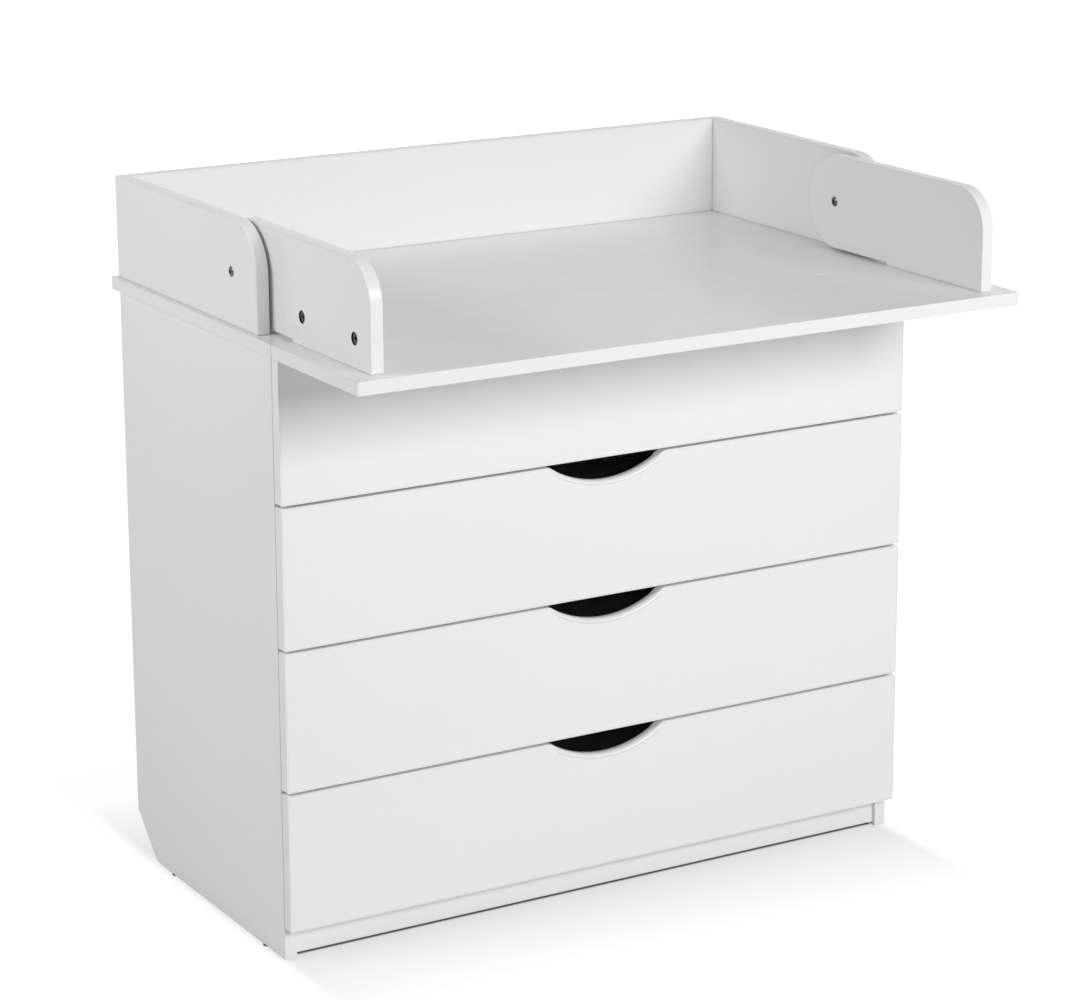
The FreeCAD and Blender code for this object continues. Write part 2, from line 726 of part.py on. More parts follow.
def make_pivot_sleeves():
    """Sleeve nuts in the flap walls, which turn on the pivot screws."""
    sleeves = []
    for name, side in SIDES:
        inward = Vector(-side, 0, 0)
        outward = Vector(side, 0, 0)
        at_inner_face = (flap_wall_inner * side, pivot_y, pivot_z)
        rim = cylinder("sleeve_rim_" + name, dims.pivot_head_radius, dims.pivot_head_edge,
                       inward, at_inner_face)
        dome = cone("sleeve_dome_" + name, dims.pivot_head_radius, dims.pivot_radius,
                    dims.pivot_head_height - dims.pivot_head_edge, inward,
                    ((flap_wall_inner - dims.pivot_head_edge) * side, pivot_y, pivot_z))
        tube = cylinder("sleeve_tube_" + name, dims.sleeve_radius,
                        dims.board - dims.sleeve_recess, outward, at_inner_face)
        body = fuse("sleeve_body_" + name, [rim, dome, tube])
        bore = cylinder("sleeve_bore_" + name, dims.pivot_radius + dims.pivot_play,
                        dims.board - dims.sleeve_recess - dims.sleeve_floor, outward,
                        ((flap_wall_inner + dims.sleeve_floor) * side, pivot_y, pivot_z))
        sleeves.append(cut("sleeve_" + name, body, bore))
    group("pivot_sleeves", sleeves)


# --------------------------------------------------------------------------
# Drawers
# --------------------------------------------------------------------------
box_height = front_height - dims.grip_depth - dims.box_drop - dims.box_lift
box_inner = box_half - dims.box_board
runner_y = case_front + dims.runner_setback
runner_length = back_front - dims.runner_rear_gap - runner_y
box_rear = runner_y + runner_length + dims.box_overrun
box_joint_x = box_half - dims.box_board / 2
grip_reach = dims.grip_half_width * dims.grip_half_width + dims.grip_depth * dims.grip_depth
grip_belly = grip_reach / (dims.grip_depth * 2) - dims.grip_lip


def box_cam_zs(number):
    """Heights of the two connectors between a drawer side and its front."""
    box_bottom = drawer_bottom(number) + dims.box_lift
    return [box_bottom + dims.cam_box_setback,
            box_bottom + box_height - dims.cam_box_setback]


def floor_groove(number):
    """Height range of the groove that holds the drawer bottom."""
    low = drawer_bottom(number) + dims.box_lift + dims.box_floor_lift
    return (low, low + dims.box_floor + dims.groove_play)


def make_drawer_front(number):
    """Drawer front with the finger cut-out in its top edge.

    The cut-out is one wide belly arc that two lip arcs carry into the top edge, all
    tangent.  With half width w, depth d and lip radius r, the centres of belly and lip
    are R + r apart, and w * w + (R + r - d) * (R + r - d) = (R + r) * (R + r).
    """
    body = new_body("drawer_%d_front" % number)
    outline = new_sketch(body, "XZ_Plane", -front_back)
    low = drawer_bottom(number)
    high = low + front_height
    lines = draw_chain(outline, [
        (-dims.grip_half_width, high), (-case_half, high), (-case_half, low),
        (case_half, low), (case_half, high), (dims.grip_half_width, high),
    ])
    tilt = math.asin(dims.grip_half_width.value / (grip_belly + dims.grip_lip).value)
    lip_z = high - dims.grip_lip
    right_lip = draw_arc(outline, dims.grip_half_width, lip_z, dims.grip_lip,
                         math.pi / 2, math.pi / 2 + tilt)
    belly = draw_arc(outline, as_size(0), high - dims.grip_depth + grip_belly, grip_belly,
                     math.pi * 3 / 2 - tilt, math.pi * 3 / 2 + tilt)
    left_lip = draw_arc(outline, -dims.grip_half_width, lip_z, dims.grip_lip,
                        math.pi / 2 - tilt, math.pi / 2)
    join(outline, "Coincident", lines[-1], Spot.END, right_lip, Spot.START)
    join(outline, "Coincident", left_lip, Spot.END, lines[0], Spot.START)
    join(outline, "Tangent", right_lip, Spot.END, belly, Spot.END)
    join(outline, "Tangent", belly, Spot.START, left_lip, Spot.START)
    place_point(outline, right_lip, Spot.CENTRE, dims.grip_half_width, lip_z)
    place_point(outline, left_lip, Spot.CENTRE, -dims.grip_half_width, lip_z)
    constrain(outline, grip_belly, "Radius", belly)
    pad(body, outline, dims.board)

    bolts = [(box_joint_x * side, z) for side in SIGNS for z in box_cam_zs(number)]
    drill(body, "XZ_Plane", -front_back, bolts, dims.bolt_radius, dims.bolt_bite, True)
    groove(body, "XZ_Plane", -front_back, mirrored_range(box_inner + dims.groove_depth),
           floor_groove(number), dims.groove_depth, True)


def make_drawer_side(number, name, side):
    """Drawer side with the groove for the bottom and the cam drillings."""
    box_bottom = drawer_bottom(number) + dims.box_lift
    body = board_body("drawer_%d_side_%s" % (number, name),
                      upright_range(side, box_inner, box_half), (front_back, box_rear),
                      (box_bottom, box_bottom + box_height))
    outwards = side > 0
    groove(body, "YZ_Plane", box_inner * side, (front_back, box_rear), floor_groove(number),
           dims.groove_depth, outwards)
    cams = [(front_back + dims.cam_reach_short, z) for z in box_cam_zs(number)]
    drill(body, "YZ_Plane", box_inner * side, cams, dims.cam_radius, dims.cam_depth_thin,
          outwards)
    channels = [(box_joint_x * side, z) for z in box_cam_zs(number)]
    drill(body, "XZ_Plane", -front_back, channels, dims.bolt_radius,
          dims.cam_reach_short, False)


def make_drawer_back(number):
    """Drawer back, standing on the drawer bottom between the sides."""
    box_top = drawer_bottom(number) + dims.box_lift + box_height
    board_body("drawer_%d_back" % number, mirrored_range(box_inner),
               (box_rear - dims.box_board, box_rear),
               (floor_groove(number)[0] + dims.box_floor, box_top))


def make_drawer_bottom(number):
    """Hardboard bottom in the grooves of the sides and the front."""
    half = box_inner + dims.groove_depth - dims.groove_play
    low = floor_groove(number)[0]
    board_body("drawer_%d_bottom" % number, mirrored_range(half),
               (front_back - dims.groove_depth + dims.groove_play, box_rear),
               (low, low + dims.box_floor))


def make_drawer_connectors(number):
    """Cam connectors between the drawer sides and the drawer front."""
    pairs = []
    for name, side in SIDES:
        for z in box_cam_zs(number):
            pairs.append(cam_connector("drawer_" + name, (box_joint_x * side, front_back, z),
                                       (0, 1, 0), (-side, 0, 0), dims.cam_reach_short,
                                       dims.cam_depth_thin, dims.box_board))
    group("drawer_%d_cams" % number, [housing for housing, bolt in pairs])
    group("drawer_%d_bolts" % number, [bolt for housing, bolt in pairs])


# --------------------------------------------------------------------------
# Telescopic runners
# --------------------------------------------------------------------------
# Each runner has three nested channels: a rail on the side panel, a carrier that
# travels half as far as the drawer, and a slide on the drawer side.  Lengths named
# web are measured from the side panel towards the drawer.
rail_half = dims.runner_height / 2
carrier_half = rail_half - dims.runner_step
slide_half = carrier_half - dims.runner_step
carrier_web = dims.runner_nest
slide_tip = carrier_web + dims.runner_nest
flange_width = dims.runner_space - dims.runner_tip_gap - carrier_web
cage_height = dims.runner_step - dims.runner_sheet - dims.cage_play


def runner_middle(number):
    """Height of the middle of a drawer's runners."""
    return drawer_bottom(number) + dims.box_lift + dims.runner_lift


def channel(name, side, middle, web_near, tip, half, web_on_drawer):
    """One bent steel channel, extruded along the runner."""
    outline = document.addObject("Sketcher::SketchObject", name + "_outline")
    outline.Placement = Placement(Vector(), Rotation(Vector(1, 0, 0), 90))
    bind(outline, "Placement.Base.y", runner_y)
    sheet_steel = dims.runner_sheet
    web_far = web_near - sheet_steel if web_on_drawer else web_near + sheet_steel

    def x_at(distance):
        return (inner_half - distance) * side

    draw_outline(outline, [
        (x_at(web_near), middle - half),
        (x_at(tip), middle - half),
        (x_at(tip), middle - half + sheet_steel),
        (x_at(web_far), middle - half + sheet_steel),
        (x_at(web_far), middle + half - sheet_steel),
        (x_at(tip), middle + half - sheet_steel),
        (x_at(tip), middle + half),
        (x_at(web_near), middle + half),
    ])
    bar = document.addObject("Part::Extrusion", name)
    bar.Base = outline
    bar.DirMode = "Custom"
    bar.Dir = Vector(0, 1, 0)
    bar.Solid = True
    bind(bar, "LengthFwd", runner_length)
    return bar


def ball_cage(name, side, near, low):
    """The strip that holds one row of balls."""
    strip = document.addObject("Part::Box", name)
    bind(strip, "Length", dims.cage_width)
    bind(strip, "Width", runner_length)
    bind(strip, "Height", cage_height)
    far = near + dims.cage_width
    start = (inner_half - far) * side if side > 0 else (inner_half - near) * side
    bind(strip, "Placement.Base.x", start)
    bind(strip, "Placement.Base.y", runner_y)
    bind(strip, "Placement.Base.z", low)
    return strip


def make_runner_rails():
    """The rails of all four drawers, fixed to the side panels."""
    rails = []
    for number in range(1, DRAWER_COUNT + 1):
        for name, side in SIDES:
            rails.append(channel("rail_%d_%s" % (number, name), side, runner_middle(number),
                                 as_size(0), flange_width, rail_half, False))
    group("runner_rails", rails)


def make_runner_carriers(number):
    """The two middle members of a drawer's runners, with their ball cages."""
    middle = runner_middle(number)
    carrier_tip = carrier_web + flange_width
    outer_cage = flange_width - dims.cage_width
    inner_cage = slide_tip
    sheet_steel = dims.runner_sheet
    carriers = []
    for name, side in SIDES:
        bar = channel("carrier_%d_%s" % (number, name), side, middle, carrier_web,
                      carrier_tip, carrier_half, False)
        cages = [
            ball_cage("cage_over", side, outer_cage, middle + carrier_half),
            ball_cage("cage_under", side, outer_cage, middle - carrier_half - cage_height),
            ball_cage("cage_upper", side, inner_cage,
                      middle + carrier_half - sheet_steel - cage_height),
            ball_cage("cage_lower", side, inner_cage, middle - carrier_half + sheet_steel),
        ]
        carriers.append(fuse("carrier_with_cages", [bar] + cages))
    group("drawer_%d_carriers" % number, carriers)


def make_drawer_slides(number):
    """The two inner members, fixed to the drawer sides."""
    slides = []
    for name, side in SIDES:
        slides.append(channel("slide_%d_%s" % (number, name), side, runner_middle(number),
                              dims.runner_space, slide_tip, slide_half, True))
    group("drawer_%d_slides" % number, slides)


# --------------------------------------------------------------------------
# The whole dresser
# --------------------------------------------------------------------------
for side_name, side_sign in SIDES:
    make_side_panel(side_name, side_sign)
make_bottom_panel()
make_plinth()
make_back_panel()
make_glides()
make_case_connectors()

make_top_board()
for side_name, side_sign in SIDES:
    make_rear_side_wall(side_name, side_sign)
make_back_wall()
make_wall_screws()
make_wall_dowels()
make_pivot_fixed_parts()

make_flap_board()
for side_name, side_sign in SIDES:
    make_flap_wall(side_name, side_sign)
make_flap_connectors()
make_pivot_sleeves()

make_runner_rails()
for drawer_number in range(1, DRAWER_COUNT + 1):
    make_drawer_front(drawer_number)
    for side_name, side_sign in SIDES:
        make_drawer_side(drawer_number, side_name, side_sign)
    make_drawer_back(drawer_number)
    make_drawer_bottom(drawer_number)
    make_drawer_connectors(drawer_number)
    make_runner_carriers(drawer_number)
    make_drawer_slides(drawer_number)

# --------------------------------------------------------------------------
# Checks and export
# --------------------------------------------------------------------------
document.recompute()
for item in document.Objects:
    if "Invalid" in item.State or "Error" in item.State:
        raise RuntimeError("%s is in state %s" % (item.Label, item.State))
for subpart in subparts:
    shape = subpart.Shape
    if shape.isNull() or not shape.isValid() or not shape.Solids:
        raise RuntimeError("%s has no valid solid" % subpart.Label)

os.makedirs("parts", exist_ok=True)
for subpart in subparts:
    subpart.Shape.exportStep(os.path.join("parts", subpart.Label + ".step"))
print("%d sub-parts written" % len(subparts))
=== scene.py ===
# %% [markdown]
# # A changing dresser in white laminated board
# The dresser is a chest of four drawers with a changing top: a fixed rear board with
# three low walls, and a flap with two walls of its own that folds back over it.
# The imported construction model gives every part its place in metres. This lesson
# dresses it: boards get the soft arrises and the edge band that laminated board has,
# fittings get their recesses, and everything gets a finish.

import bpy
import numpy as np
from mathutils import Matrix, Vector
from mathutils.geometry import tessellate_polygon


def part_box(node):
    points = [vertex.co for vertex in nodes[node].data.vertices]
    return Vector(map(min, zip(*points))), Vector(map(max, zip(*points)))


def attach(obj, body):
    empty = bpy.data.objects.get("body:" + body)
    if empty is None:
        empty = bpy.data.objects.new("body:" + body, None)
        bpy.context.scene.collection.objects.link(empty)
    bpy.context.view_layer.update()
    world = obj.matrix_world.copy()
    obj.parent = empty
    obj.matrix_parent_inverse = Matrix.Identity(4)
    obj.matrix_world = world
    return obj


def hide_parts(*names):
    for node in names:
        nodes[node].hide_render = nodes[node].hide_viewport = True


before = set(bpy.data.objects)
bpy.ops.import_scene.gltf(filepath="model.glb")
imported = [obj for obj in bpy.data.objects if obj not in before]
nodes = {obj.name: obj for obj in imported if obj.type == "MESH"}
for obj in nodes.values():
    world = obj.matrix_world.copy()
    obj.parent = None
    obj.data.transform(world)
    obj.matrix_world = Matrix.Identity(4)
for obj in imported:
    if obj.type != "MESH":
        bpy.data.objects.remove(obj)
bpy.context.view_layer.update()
print("parts in the frame:", len(nodes))

# %% [markdown]
# ## Camera
# The photograph was taken with a long lens from the front left, a little above the top.
# A camera could be pointed by eye, but then it is a little off. So place, direction and
# focal length were solved from the corners of the boards. Blender's camera looks along its
# own -Z with +Y up, so the three columns of its rotation are right, up and backwards.

# %% The photograph's camera
IMAGE_WIDTH, IMAGE_HEIGHT = 1082, 1000
FOCAL_PIXELS = 3366.7
PRINCIPAL_POINT = (534.9, 445.0)
SENSOR_MM = 36.0
CAMERA_PLACE = (-2.0664, -3.4704, 1.6067)
CAMERA_RIGHT = (0.86253, -0.50599, -0.00388)
VIEW_DIRECTION = (0.48889, 0.83531, -0.25148)

camera_data = bpy.data.cameras.new("camera")
camera_data.sensor_fit = "HORIZONTAL"
camera_data.sensor_width = SENSOR_MM
camera_data.lens = FOCAL_PIXELS / IMAGE_WIDTH * SENSOR_MM
camera_data.shift_x = (IMAGE_WIDTH / 2 - PRINCIPAL_POINT[0]) / IMAGE_WIDTH
camera_data.shift_y = (PRINCIPAL_POINT[1] - IMAGE_HEIGHT / 2) / IMAGE_WIDTH
camera = bpy.data.objects.new("camera", camera_data)
bpy.context.scene.collection.objects.link(camera)
bpy.context.scene.camera = camera

right = Vector(CAMERA_RIGHT).normalized()
backwards = -Vector(VIEW_DIRECTION).normalized()
up = backwards.cross(right).normalized()
camera_turn = Matrix((right, up, backwards)).transposed().to_4x4()
camera.matrix_world = Matrix.Translation(CAMERA_PLACE) @ camera_turn
print("lens %.1f mm" % camera_data.lens)

# %% [markdown]
# ## Board outlines
# Every board here is a flat outline with rounded corners: 2.2 mm where a corner is only
# broken with a file, up to 60 mm where it was sawn round. A Bevel modifier could round
# them, but only all alike, and the next step needs the outline as numbers. A rounded
# corner is an arc that touches both edges, so all corners can be worked out at once:
# at a corner with half angle h, the arc's centre lies on the bisector,
# radius / sin(h) from the corner. The finger cut-out of a drawer front is the same
# thing: two lips and one wide hollow.

# %% Outlines with rounded corners
ARC_STEPS = 14
FILED_CORNER = 0.0022
SAME_PLACE = 1e-6


def unit(vectors):
    """Vectors of length one: each divided by its own length."""
    return vectors / np.linalg.norm(vectors, axis=-1, keepdims=True)


def rounded_outline(corners, radii):
    """Points and outward normals round a counter-clockwise outline.

    With a and b the unit directions from a corner to its neighbours and h half the
    angle between them, the arc starts at corner + a * radius / tan(h). It is turned
    about corner + unit(a + b) * radius / sin(h), through pi - 2h.
    """
    corners = np.asarray(corners, float)
    radii = np.asarray(radii, float)[:, None]
    behind = unit(np.roll(corners, 1, axis=0) - corners)
    ahead = unit(np.roll(corners, -1, axis=0) - corners)
    bisector = unit(behind + ahead)
    half = np.arccos(np.sum(behind * bisector, axis=1, keepdims=True))
    hand = np.sign(ahead[:, :1] * behind[:, 1:] - ahead[:, 1:] * behind[:, :1])
    centres = corners + bisector * radii / np.sin(half)
    start = unit(corners + behind * radii / np.tan(half) - centres)
    sweep = hand * (np.pi - 2 * half) * np.linspace(0, 1, ARC_STEPS)
    cosine, sine = np.cos(sweep), np.sin(sweep)
    direction = np.stack([start[:, :1] * cosine - start[:, 1:] * sine,
                          start[:, :1] * sine + start[:, 1:] * cosine], axis=-1)
    points = (centres[:, None] + radii[:, None] * direction).reshape(-1, 2)
    normals = (direction * hand[:, None]).reshape(-1, 2)
    apart = np.linalg.norm(points - np.roll(points, 1, axis=0), axis=1) > SAME_PLACE
    return points[apart], normals[apart]


print("points round a rectangular board:", 4 * ARC_STEPS)

# %% [markdown]
# ## From an outline to a board
# A laminated board has two faces and a band glued round its edges. The band's corners
# are scraped round after gluing, and it is this small round, the arris, that catches the
# light. A box with a Bevel modifier has one too, but the same all round, and along a
# finger cut-out it has to grow. So the board is a profile carried round the outline:
# face, round, edge, round, face. Two caps close it.
#
# Each point also keeps how far it lies in from the edge, and the material draws the
# band's glue line from that number. Where the arris is wide, the band reaches further
# in with it, so there the number is scaled to end at the same value.

# %% The profile of an edge
ARRIS_STEPS = 5
BAND_STRIP = 0.0021
STRIP_MARGIN = 0.0001


def edge_profile(thickness, arris):
    """Rings from one face to the other: inset, height, and the normal's two parts.

    Over an angle p from 0 to 90 degrees, the round is inset arris * (1 - sin p) at
    height arris * (1 - cos p), with the normal (sin p outward, -cos p along the axis).
    One more ring in each face closes the strip that the band's seam needs. arris has
    one value for each point of the outline.
    """
    strip = np.maximum(BAND_STRIP, arris + STRIP_MARGIN)
    angle = np.linspace(0, np.pi / 2, ARRIS_STEPS)[:, None]
    inset = np.concatenate([strip[None], arris * (1 - np.sin(angle))])
    height = np.concatenate([0 * strip[None], arris * (1 - np.cos(angle))])
    outward = np.concatenate([[[0.0]], np.sin(angle)])
    along = np.concatenate([[[-1.0]], -np.cos(angle)])
    return (np.concatenate([inset, inset[::-1]]),
            np.concatenate([height, thickness - height[::-1]]),
            np.concatenate([outward, outward[::-1]]),
            np.concatenate([along, -along[::-1]]))


print("rings from face to face:", 2 * (ARRIS_STEPS + 1))

# %% Faces between points
CIRCLE_POINTS = 48


def grid_faces(rings, around, first=0):
    """Quads between rings of points, each ring closed on itself, counted from first."""
    ring = np.arange(rings - 1)[:, None] * around
    here = np.arange(around)[None]
    following = (here + 1) % around
    quads = np.stack([ring + here, ring + following,
                      ring + around + following, ring + around + here], axis=-1)
    return (first + quads.reshape(-1, 4)).tolist()


def circle(centre, radius):
    """Points on a circle: centre + radius * (cos t, sin t)."""
    turn = np.linspace(0, 2 * np.pi, CIRCLE_POINTS, endpoint=False)
    return np.asarray(centre) + radius * np.stack([np.cos(turn), np.sin(turn)], axis=1)


def drilled_cap(rim, holes, upwards):
    """Triangles of a face with round holes, over the points of rim and then of holes.

    Twice a triangle's signed area is (b - a) x (c - a). Where its sign doesn't agree
    with the side that the face looks to, the triangle is turned over.
    """
    loops = [[Vector((*point, 0)) for point in loop] for loop in [rim, *holes]]
    flat = np.concatenate([rim, *holes])
    triangles = np.array(tessellate_polygon(loops))
    a, b, c = (flat[triangles[:, k]] for k in range(3))
    to_b, to_c = b - a, c - a
    area = to_b[:, 0] * to_c[:, 1] - to_b[:, 1] * to_c[:, 0]
    turned = (area < 0) == upwards
    triangles[turned] = triangles[turned][:, ::-1]
    return triangles


print("points round a hole:", CIRCLE_POINTS)

# %% Gathering a mesh from parts
class MeshParts:
    """Collects points, their normals, their distance from the edge, and faces."""

    def __init__(self):
        self.points, self.normals, self.from_edge, self.faces = [], [], [], []
        self.count = 0

    def add(self, points, normals, from_edge):
        """Append points, and return the index of the first."""
        first = self.count
        self.points.append(points.reshape(-1, 3))
        self.normals.append(np.broadcast_to(normals, points.shape).reshape(-1, 3))
        self.from_edge.append(np.broadcast_to(from_edge, points.shape[:-1]).reshape(-1))
        self.count += len(self.points[-1])
        return first

    def build(self, name, mirrored):
        """The mesh, with its faces turned over where the axes are left-handed."""
        faces = [face[::-1] for face in self.faces] if mirrored else self.faces
        mesh = bpy.data.meshes.new(name)
        mesh.from_pydata(np.concatenate(self.points), [], faces)
        layer = mesh.attributes.new("from_edge", "FLOAT", "POINT")
        layer.data.foreach_set("value", np.concatenate(self.from_edge))
        mesh.polygons.foreach_set("use_smooth", np.ones(len(faces), bool))
        mesh.normals_split_custom_set_from_vertices(np.concatenate(self.normals))
        mesh.update()
        return mesh


print("a point carries its place, its normal and its distance from the edge")

# %% A whole board
# For the axis through a board: the two axes of its plane, and the axis itself.
PLANES = {"x": (1, 2, 0), "y": (0, 2, 1), "z": (0, 1, 2)}
# All points of a face count as this far from the edge.
FACE_DISTANCE = 0.0022


def add_pockets(parts, lifted, rim, level, sense, pockets):
    """A face with round pockets: the drilled cap, then each pocket's wall and bottom.

    sense is 1 for the high face and -1 for the low one. A pocket is (centre, radius,
    depth). Its bottom lies at level - sense * depth, and its wall's normals are
    unit(centre - edge).
    """
    face_normal = lifted(np.zeros(2), sense)
    edges = [circle(centre, radius) for centre, radius, depth in pockets]
    first = parts.add(lifted(rim, level), face_normal, FACE_DISTANCE)
    for edge in edges:
        parts.add(lifted(edge, level), face_normal, FACE_DISTANCE)
    parts.faces += (first + drilled_cap(rim, edges, sense > 0)).tolist()
    for edge, (centre, radius, depth) in zip(edges, pockets):
        bottom = level - sense * depth
        wall = lifted(np.stack([edge, edge]), np.array([[level], [bottom]]))
        first = parts.add(wall, lifted(unit(centre - edge), 0.0), FACE_DISTANCE)
        quads = grid_faces(2, len(edge), first)
        parts.faces += quads if sense < 0 else [quad[::-1] for quad in quads]
        first = parts.add(lifted(edge, bottom), face_normal, FACE_DISTANCE)
        disc = list(range(first, first + len(edge)))
        parts.faces.append(disc if sense > 0 else disc[::-1])


def board_mesh(name, outline, across, low, high, arris, holes=()):
    """A board: edge_profile carried round an outline, capped, with round pockets.

    Ring k lies at outline - inset(k) * normal and at low + height(k) along the axis
    across. arris is one radius, or one for each point. A hole is (centre, radius,
    depth, side), and side is "low" or "high", the face from which it is drilled.
    """
    points, outward = outline
    arris = np.broadcast_to(arris, len(points))
    inset, height, out_share, axis_share = edge_profile(high - low, arris)
    u, v, w = PLANES[across]
    parts = MeshParts()

    def lifted(flat, level):
        """Flat points of the board's plane, put at a level along its axis."""
        solid = np.empty((*flat.shape[:-1], 3))
        solid[..., u], solid[..., v], solid[..., w] = flat[..., 0], flat[..., 1], level
        return solid

    rings = points[None] - inset[..., None] * outward[None]
    parts.add(lifted(rings, low + height),
              lifted(out_share[..., None] * outward[None], axis_share),
              inset * FACE_DISTANCE / inset[0])
    around = len(points)
    parts.faces += grid_faces(len(inset), around)
    for side, ring, level, sense in (("low", 0, low, -1), ("high", len(inset) - 1, high, 1)):
        pockets = [hole[:3] for hole in holes if hole[3] == side]
        if pockets:
            add_pockets(parts, lifted, rings[ring], level, sense, pockets)
        else:
            cap = list(range(ring * around, (ring + 1) * around))
            parts.faces.append(cap if sense > 0 else cap[::-1])
    return parts.build(name, mirrored=across == "y")


print("faces count as %.1f mm from the edge" % (FACE_DISTANCE * 1000))

# %% [markdown]
# ## The white laminate
# Melamine paper is pressed on to the chipboard against a polished plate. The result is
# a cool white with a soft gloss: a blurred reflection, because the surface has a very
# fine orange peel. A plain white would look like plaster. So a noise with a grain of
# about a millimetre gives the orange peel as bump, and wide noises move gloss and tone
# by a percent or so. The band is a plastic strip in a white that is nearly, but never
# quite, the same, and a hair of glue shows between them.

# %% Helpers for shader nodes
# Most of a noise's values lie in this range.
NOISE_MIDDLE = (0.3, 0.7)
FINE_DETAIL = 3.0
# The Mix node has sockets for each kind of value. These are the ones for colours.
MIX_INPUTS = (0, 6, 7)
MIX_RESULT = 2


def new_material(name):
    """A node material and its principled shader."""
    material = bpy.data.materials.new(name)
    material.use_nodes = True
    return material, material.node_tree, material.node_tree.nodes["Principled BSDF"]


def noise(tree, grain, detail=2.0, stretch=(1, 1, 1)):
    """Noise over the object's own metres, each first multiplied by its stretch."""
    place = tree.nodes.new("ShaderNodeTexCoord")
    mapping = tree.nodes.new("ShaderNodeMapping")
    mapping.inputs["Scale"].default_value = stretch
    texture = tree.nodes.new("ShaderNodeTexNoise")
    texture.inputs["Scale"].default_value = grain
    texture.inputs["Detail"].default_value = detail
    tree.links.new(place.outputs["Object"], mapping.inputs["Vector"])
    tree.links.new(mapping.outputs["Vector"], texture.inputs["Vector"])
    return texture.outputs["Fac"]


def spread(tree, value, low, high, start=0.0, end=1.0):
    """Maps a value from start..end to low..high, and holds it there beyond."""
    node = tree.nodes.new("ShaderNodeMapRange")
    node.inputs["From Min"].default_value = start
    node.inputs["From Max"].default_value = end
    node.inputs["To Min"].default_value = low
    node.inputs["To Max"].default_value = high
    tree.links.new(value, node.inputs["Value"])
    return node.outputs["Result"]


def blend_colours(tree, factor, first, second):
    """Mixes two colours, each a plain colour or a socket."""
    node = tree.nodes.new("ShaderNodeMix")
    node.data_type = "RGBA"
    for place, value in zip(MIX_INPUTS, (factor, first, second)):
        if isinstance(value, bpy.types.NodeSocket):
            tree.links.new(value, node.inputs[place])
        else:
            node.inputs[place].default_value = value
    return node.outputs[MIX_RESULT]


def bump(tree, shader, height, distance):
    """Raises the surface by a height pattern, distance in metres."""
    node = tree.nodes.new("ShaderNodeBump")
    node.inputs["Distance"].default_value = distance
    node.inputs["Strength"].default_value = 1.0
    tree.links.new(height, node.inputs["Height"])
    tree.links.new(node.outputs["Normal"], shader.inputs["Normal"])


print("noise is used from %.1f to %.1f" % NOISE_MIDDLE)

# %% White board, with and without its band
WHITE = (0.850, 0.852, 0.850, 1)
CLOUDED_WHITE = (0.83725, 0.83922, 0.83725, 1)
BAND_WHITE = (0.838, 0.841, 0.840, 1)
GLUE = (0.42, 0.41, 0.39, 1)
# Distances from the edge between which band and glue line begin or end.
BAND_END = (0.00170, 0.00180)
GLUE_BEGINS = (0.00160, 0.00170)
GLUE_ENDS = (0.00175, 0.00190)
GLUE_STRENGTH = 0.9
CLOUD_GRAIN, GLOSS_GRAIN, PEEL_GRAIN = 4.0, 14.0, 900.0
CLOUD_STRENGTH = 0.5
PEEL_HEIGHT = 0.000012
LAMINATE_ROUGHNESS = (0.20, 0.26)
LAMINATE_SPECULAR = 0.3


def laminate(name, banded):
    """White melamine; where banded, an edge band and its glue line.

    The glue line's strength is rise * fall, both over the distance from the edge.
    """
    material, tree, shader = new_material(name)
    cloud = spread(tree, noise(tree, CLOUD_GRAIN), 0.0, CLOUD_STRENGTH, *NOISE_MIDDLE)
    colour = blend_colours(tree, cloud, WHITE, CLOUDED_WHITE)
    if banded:
        attribute = tree.nodes.new("ShaderNodeAttribute")
        attribute.attribute_name = "from_edge"
        inward = attribute.outputs["Fac"]
        on_band = spread(tree, inward, 1.0, 0.0, *BAND_END)
        colour = blend_colours(tree, on_band, colour, BAND_WHITE)
        line = tree.nodes.new("ShaderNodeMath")
        line.operation = "MULTIPLY"
        tree.links.new(spread(tree, inward, 0.0, 1.0, *GLUE_BEGINS), line.inputs[0])
        tree.links.new(spread(tree, inward, 1.0, 0.0, *GLUE_ENDS), line.inputs[1])
        shade = spread(tree, line.outputs[0], 0.0, GLUE_STRENGTH)
        colour = blend_colours(tree, shade, colour, GLUE)
    wander = noise(tree, GLOSS_GRAIN, FINE_DETAIL)
    gloss = spread(tree, wander, *LAMINATE_ROUGHNESS, *NOISE_MIDDLE)
    tree.links.new(colour, shader.inputs["Base Color"])
    tree.links.new(gloss, shader.inputs["Roughness"])
    shader.inputs["Specular IOR Level"].default_value = LAMINATE_SPECULAR
    bump(tree, shader, noise(tree, PEEL_GRAIN, 1.0), PEEL_HEIGHT)
    return material


white_board = laminate("white board with edge band", banded=True)
white_face = laminate("white board, raw joint edges", banded=False)
print("laminates:", white_board.name, "/", white_face.name)

# %% [markdown]
# ## Dressing the boards
# Most boards are rectangles, and their place and size come from the construction model's
# box, so nothing has to be measured twice. The helper below takes the outline's corners,
# or works them out from that box, and hides the plain part that the finished board
# stands for. Arrises differ: 1.4 mm on the walls, which hands and elbows touch, 0.5 mm
# on case and fronts, and 0.3 mm where two boards meet flush.

# %% One board in the place of a part
WALL_ARRIS = 0.0014
FRONT_ARRIS = 0.0005
TIGHT_ARRIS = 0.0003
finished = []


def corners_of(node):
    """The lowest and the highest corner of a part's box, at rest."""
    return [np.array(corner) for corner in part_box(node)]


def face_of(side, outer):
    """The face, "low" or "high", that is the outer or inner one of a left or right board."""
    return "high" if (side == "right") == outer else "low"


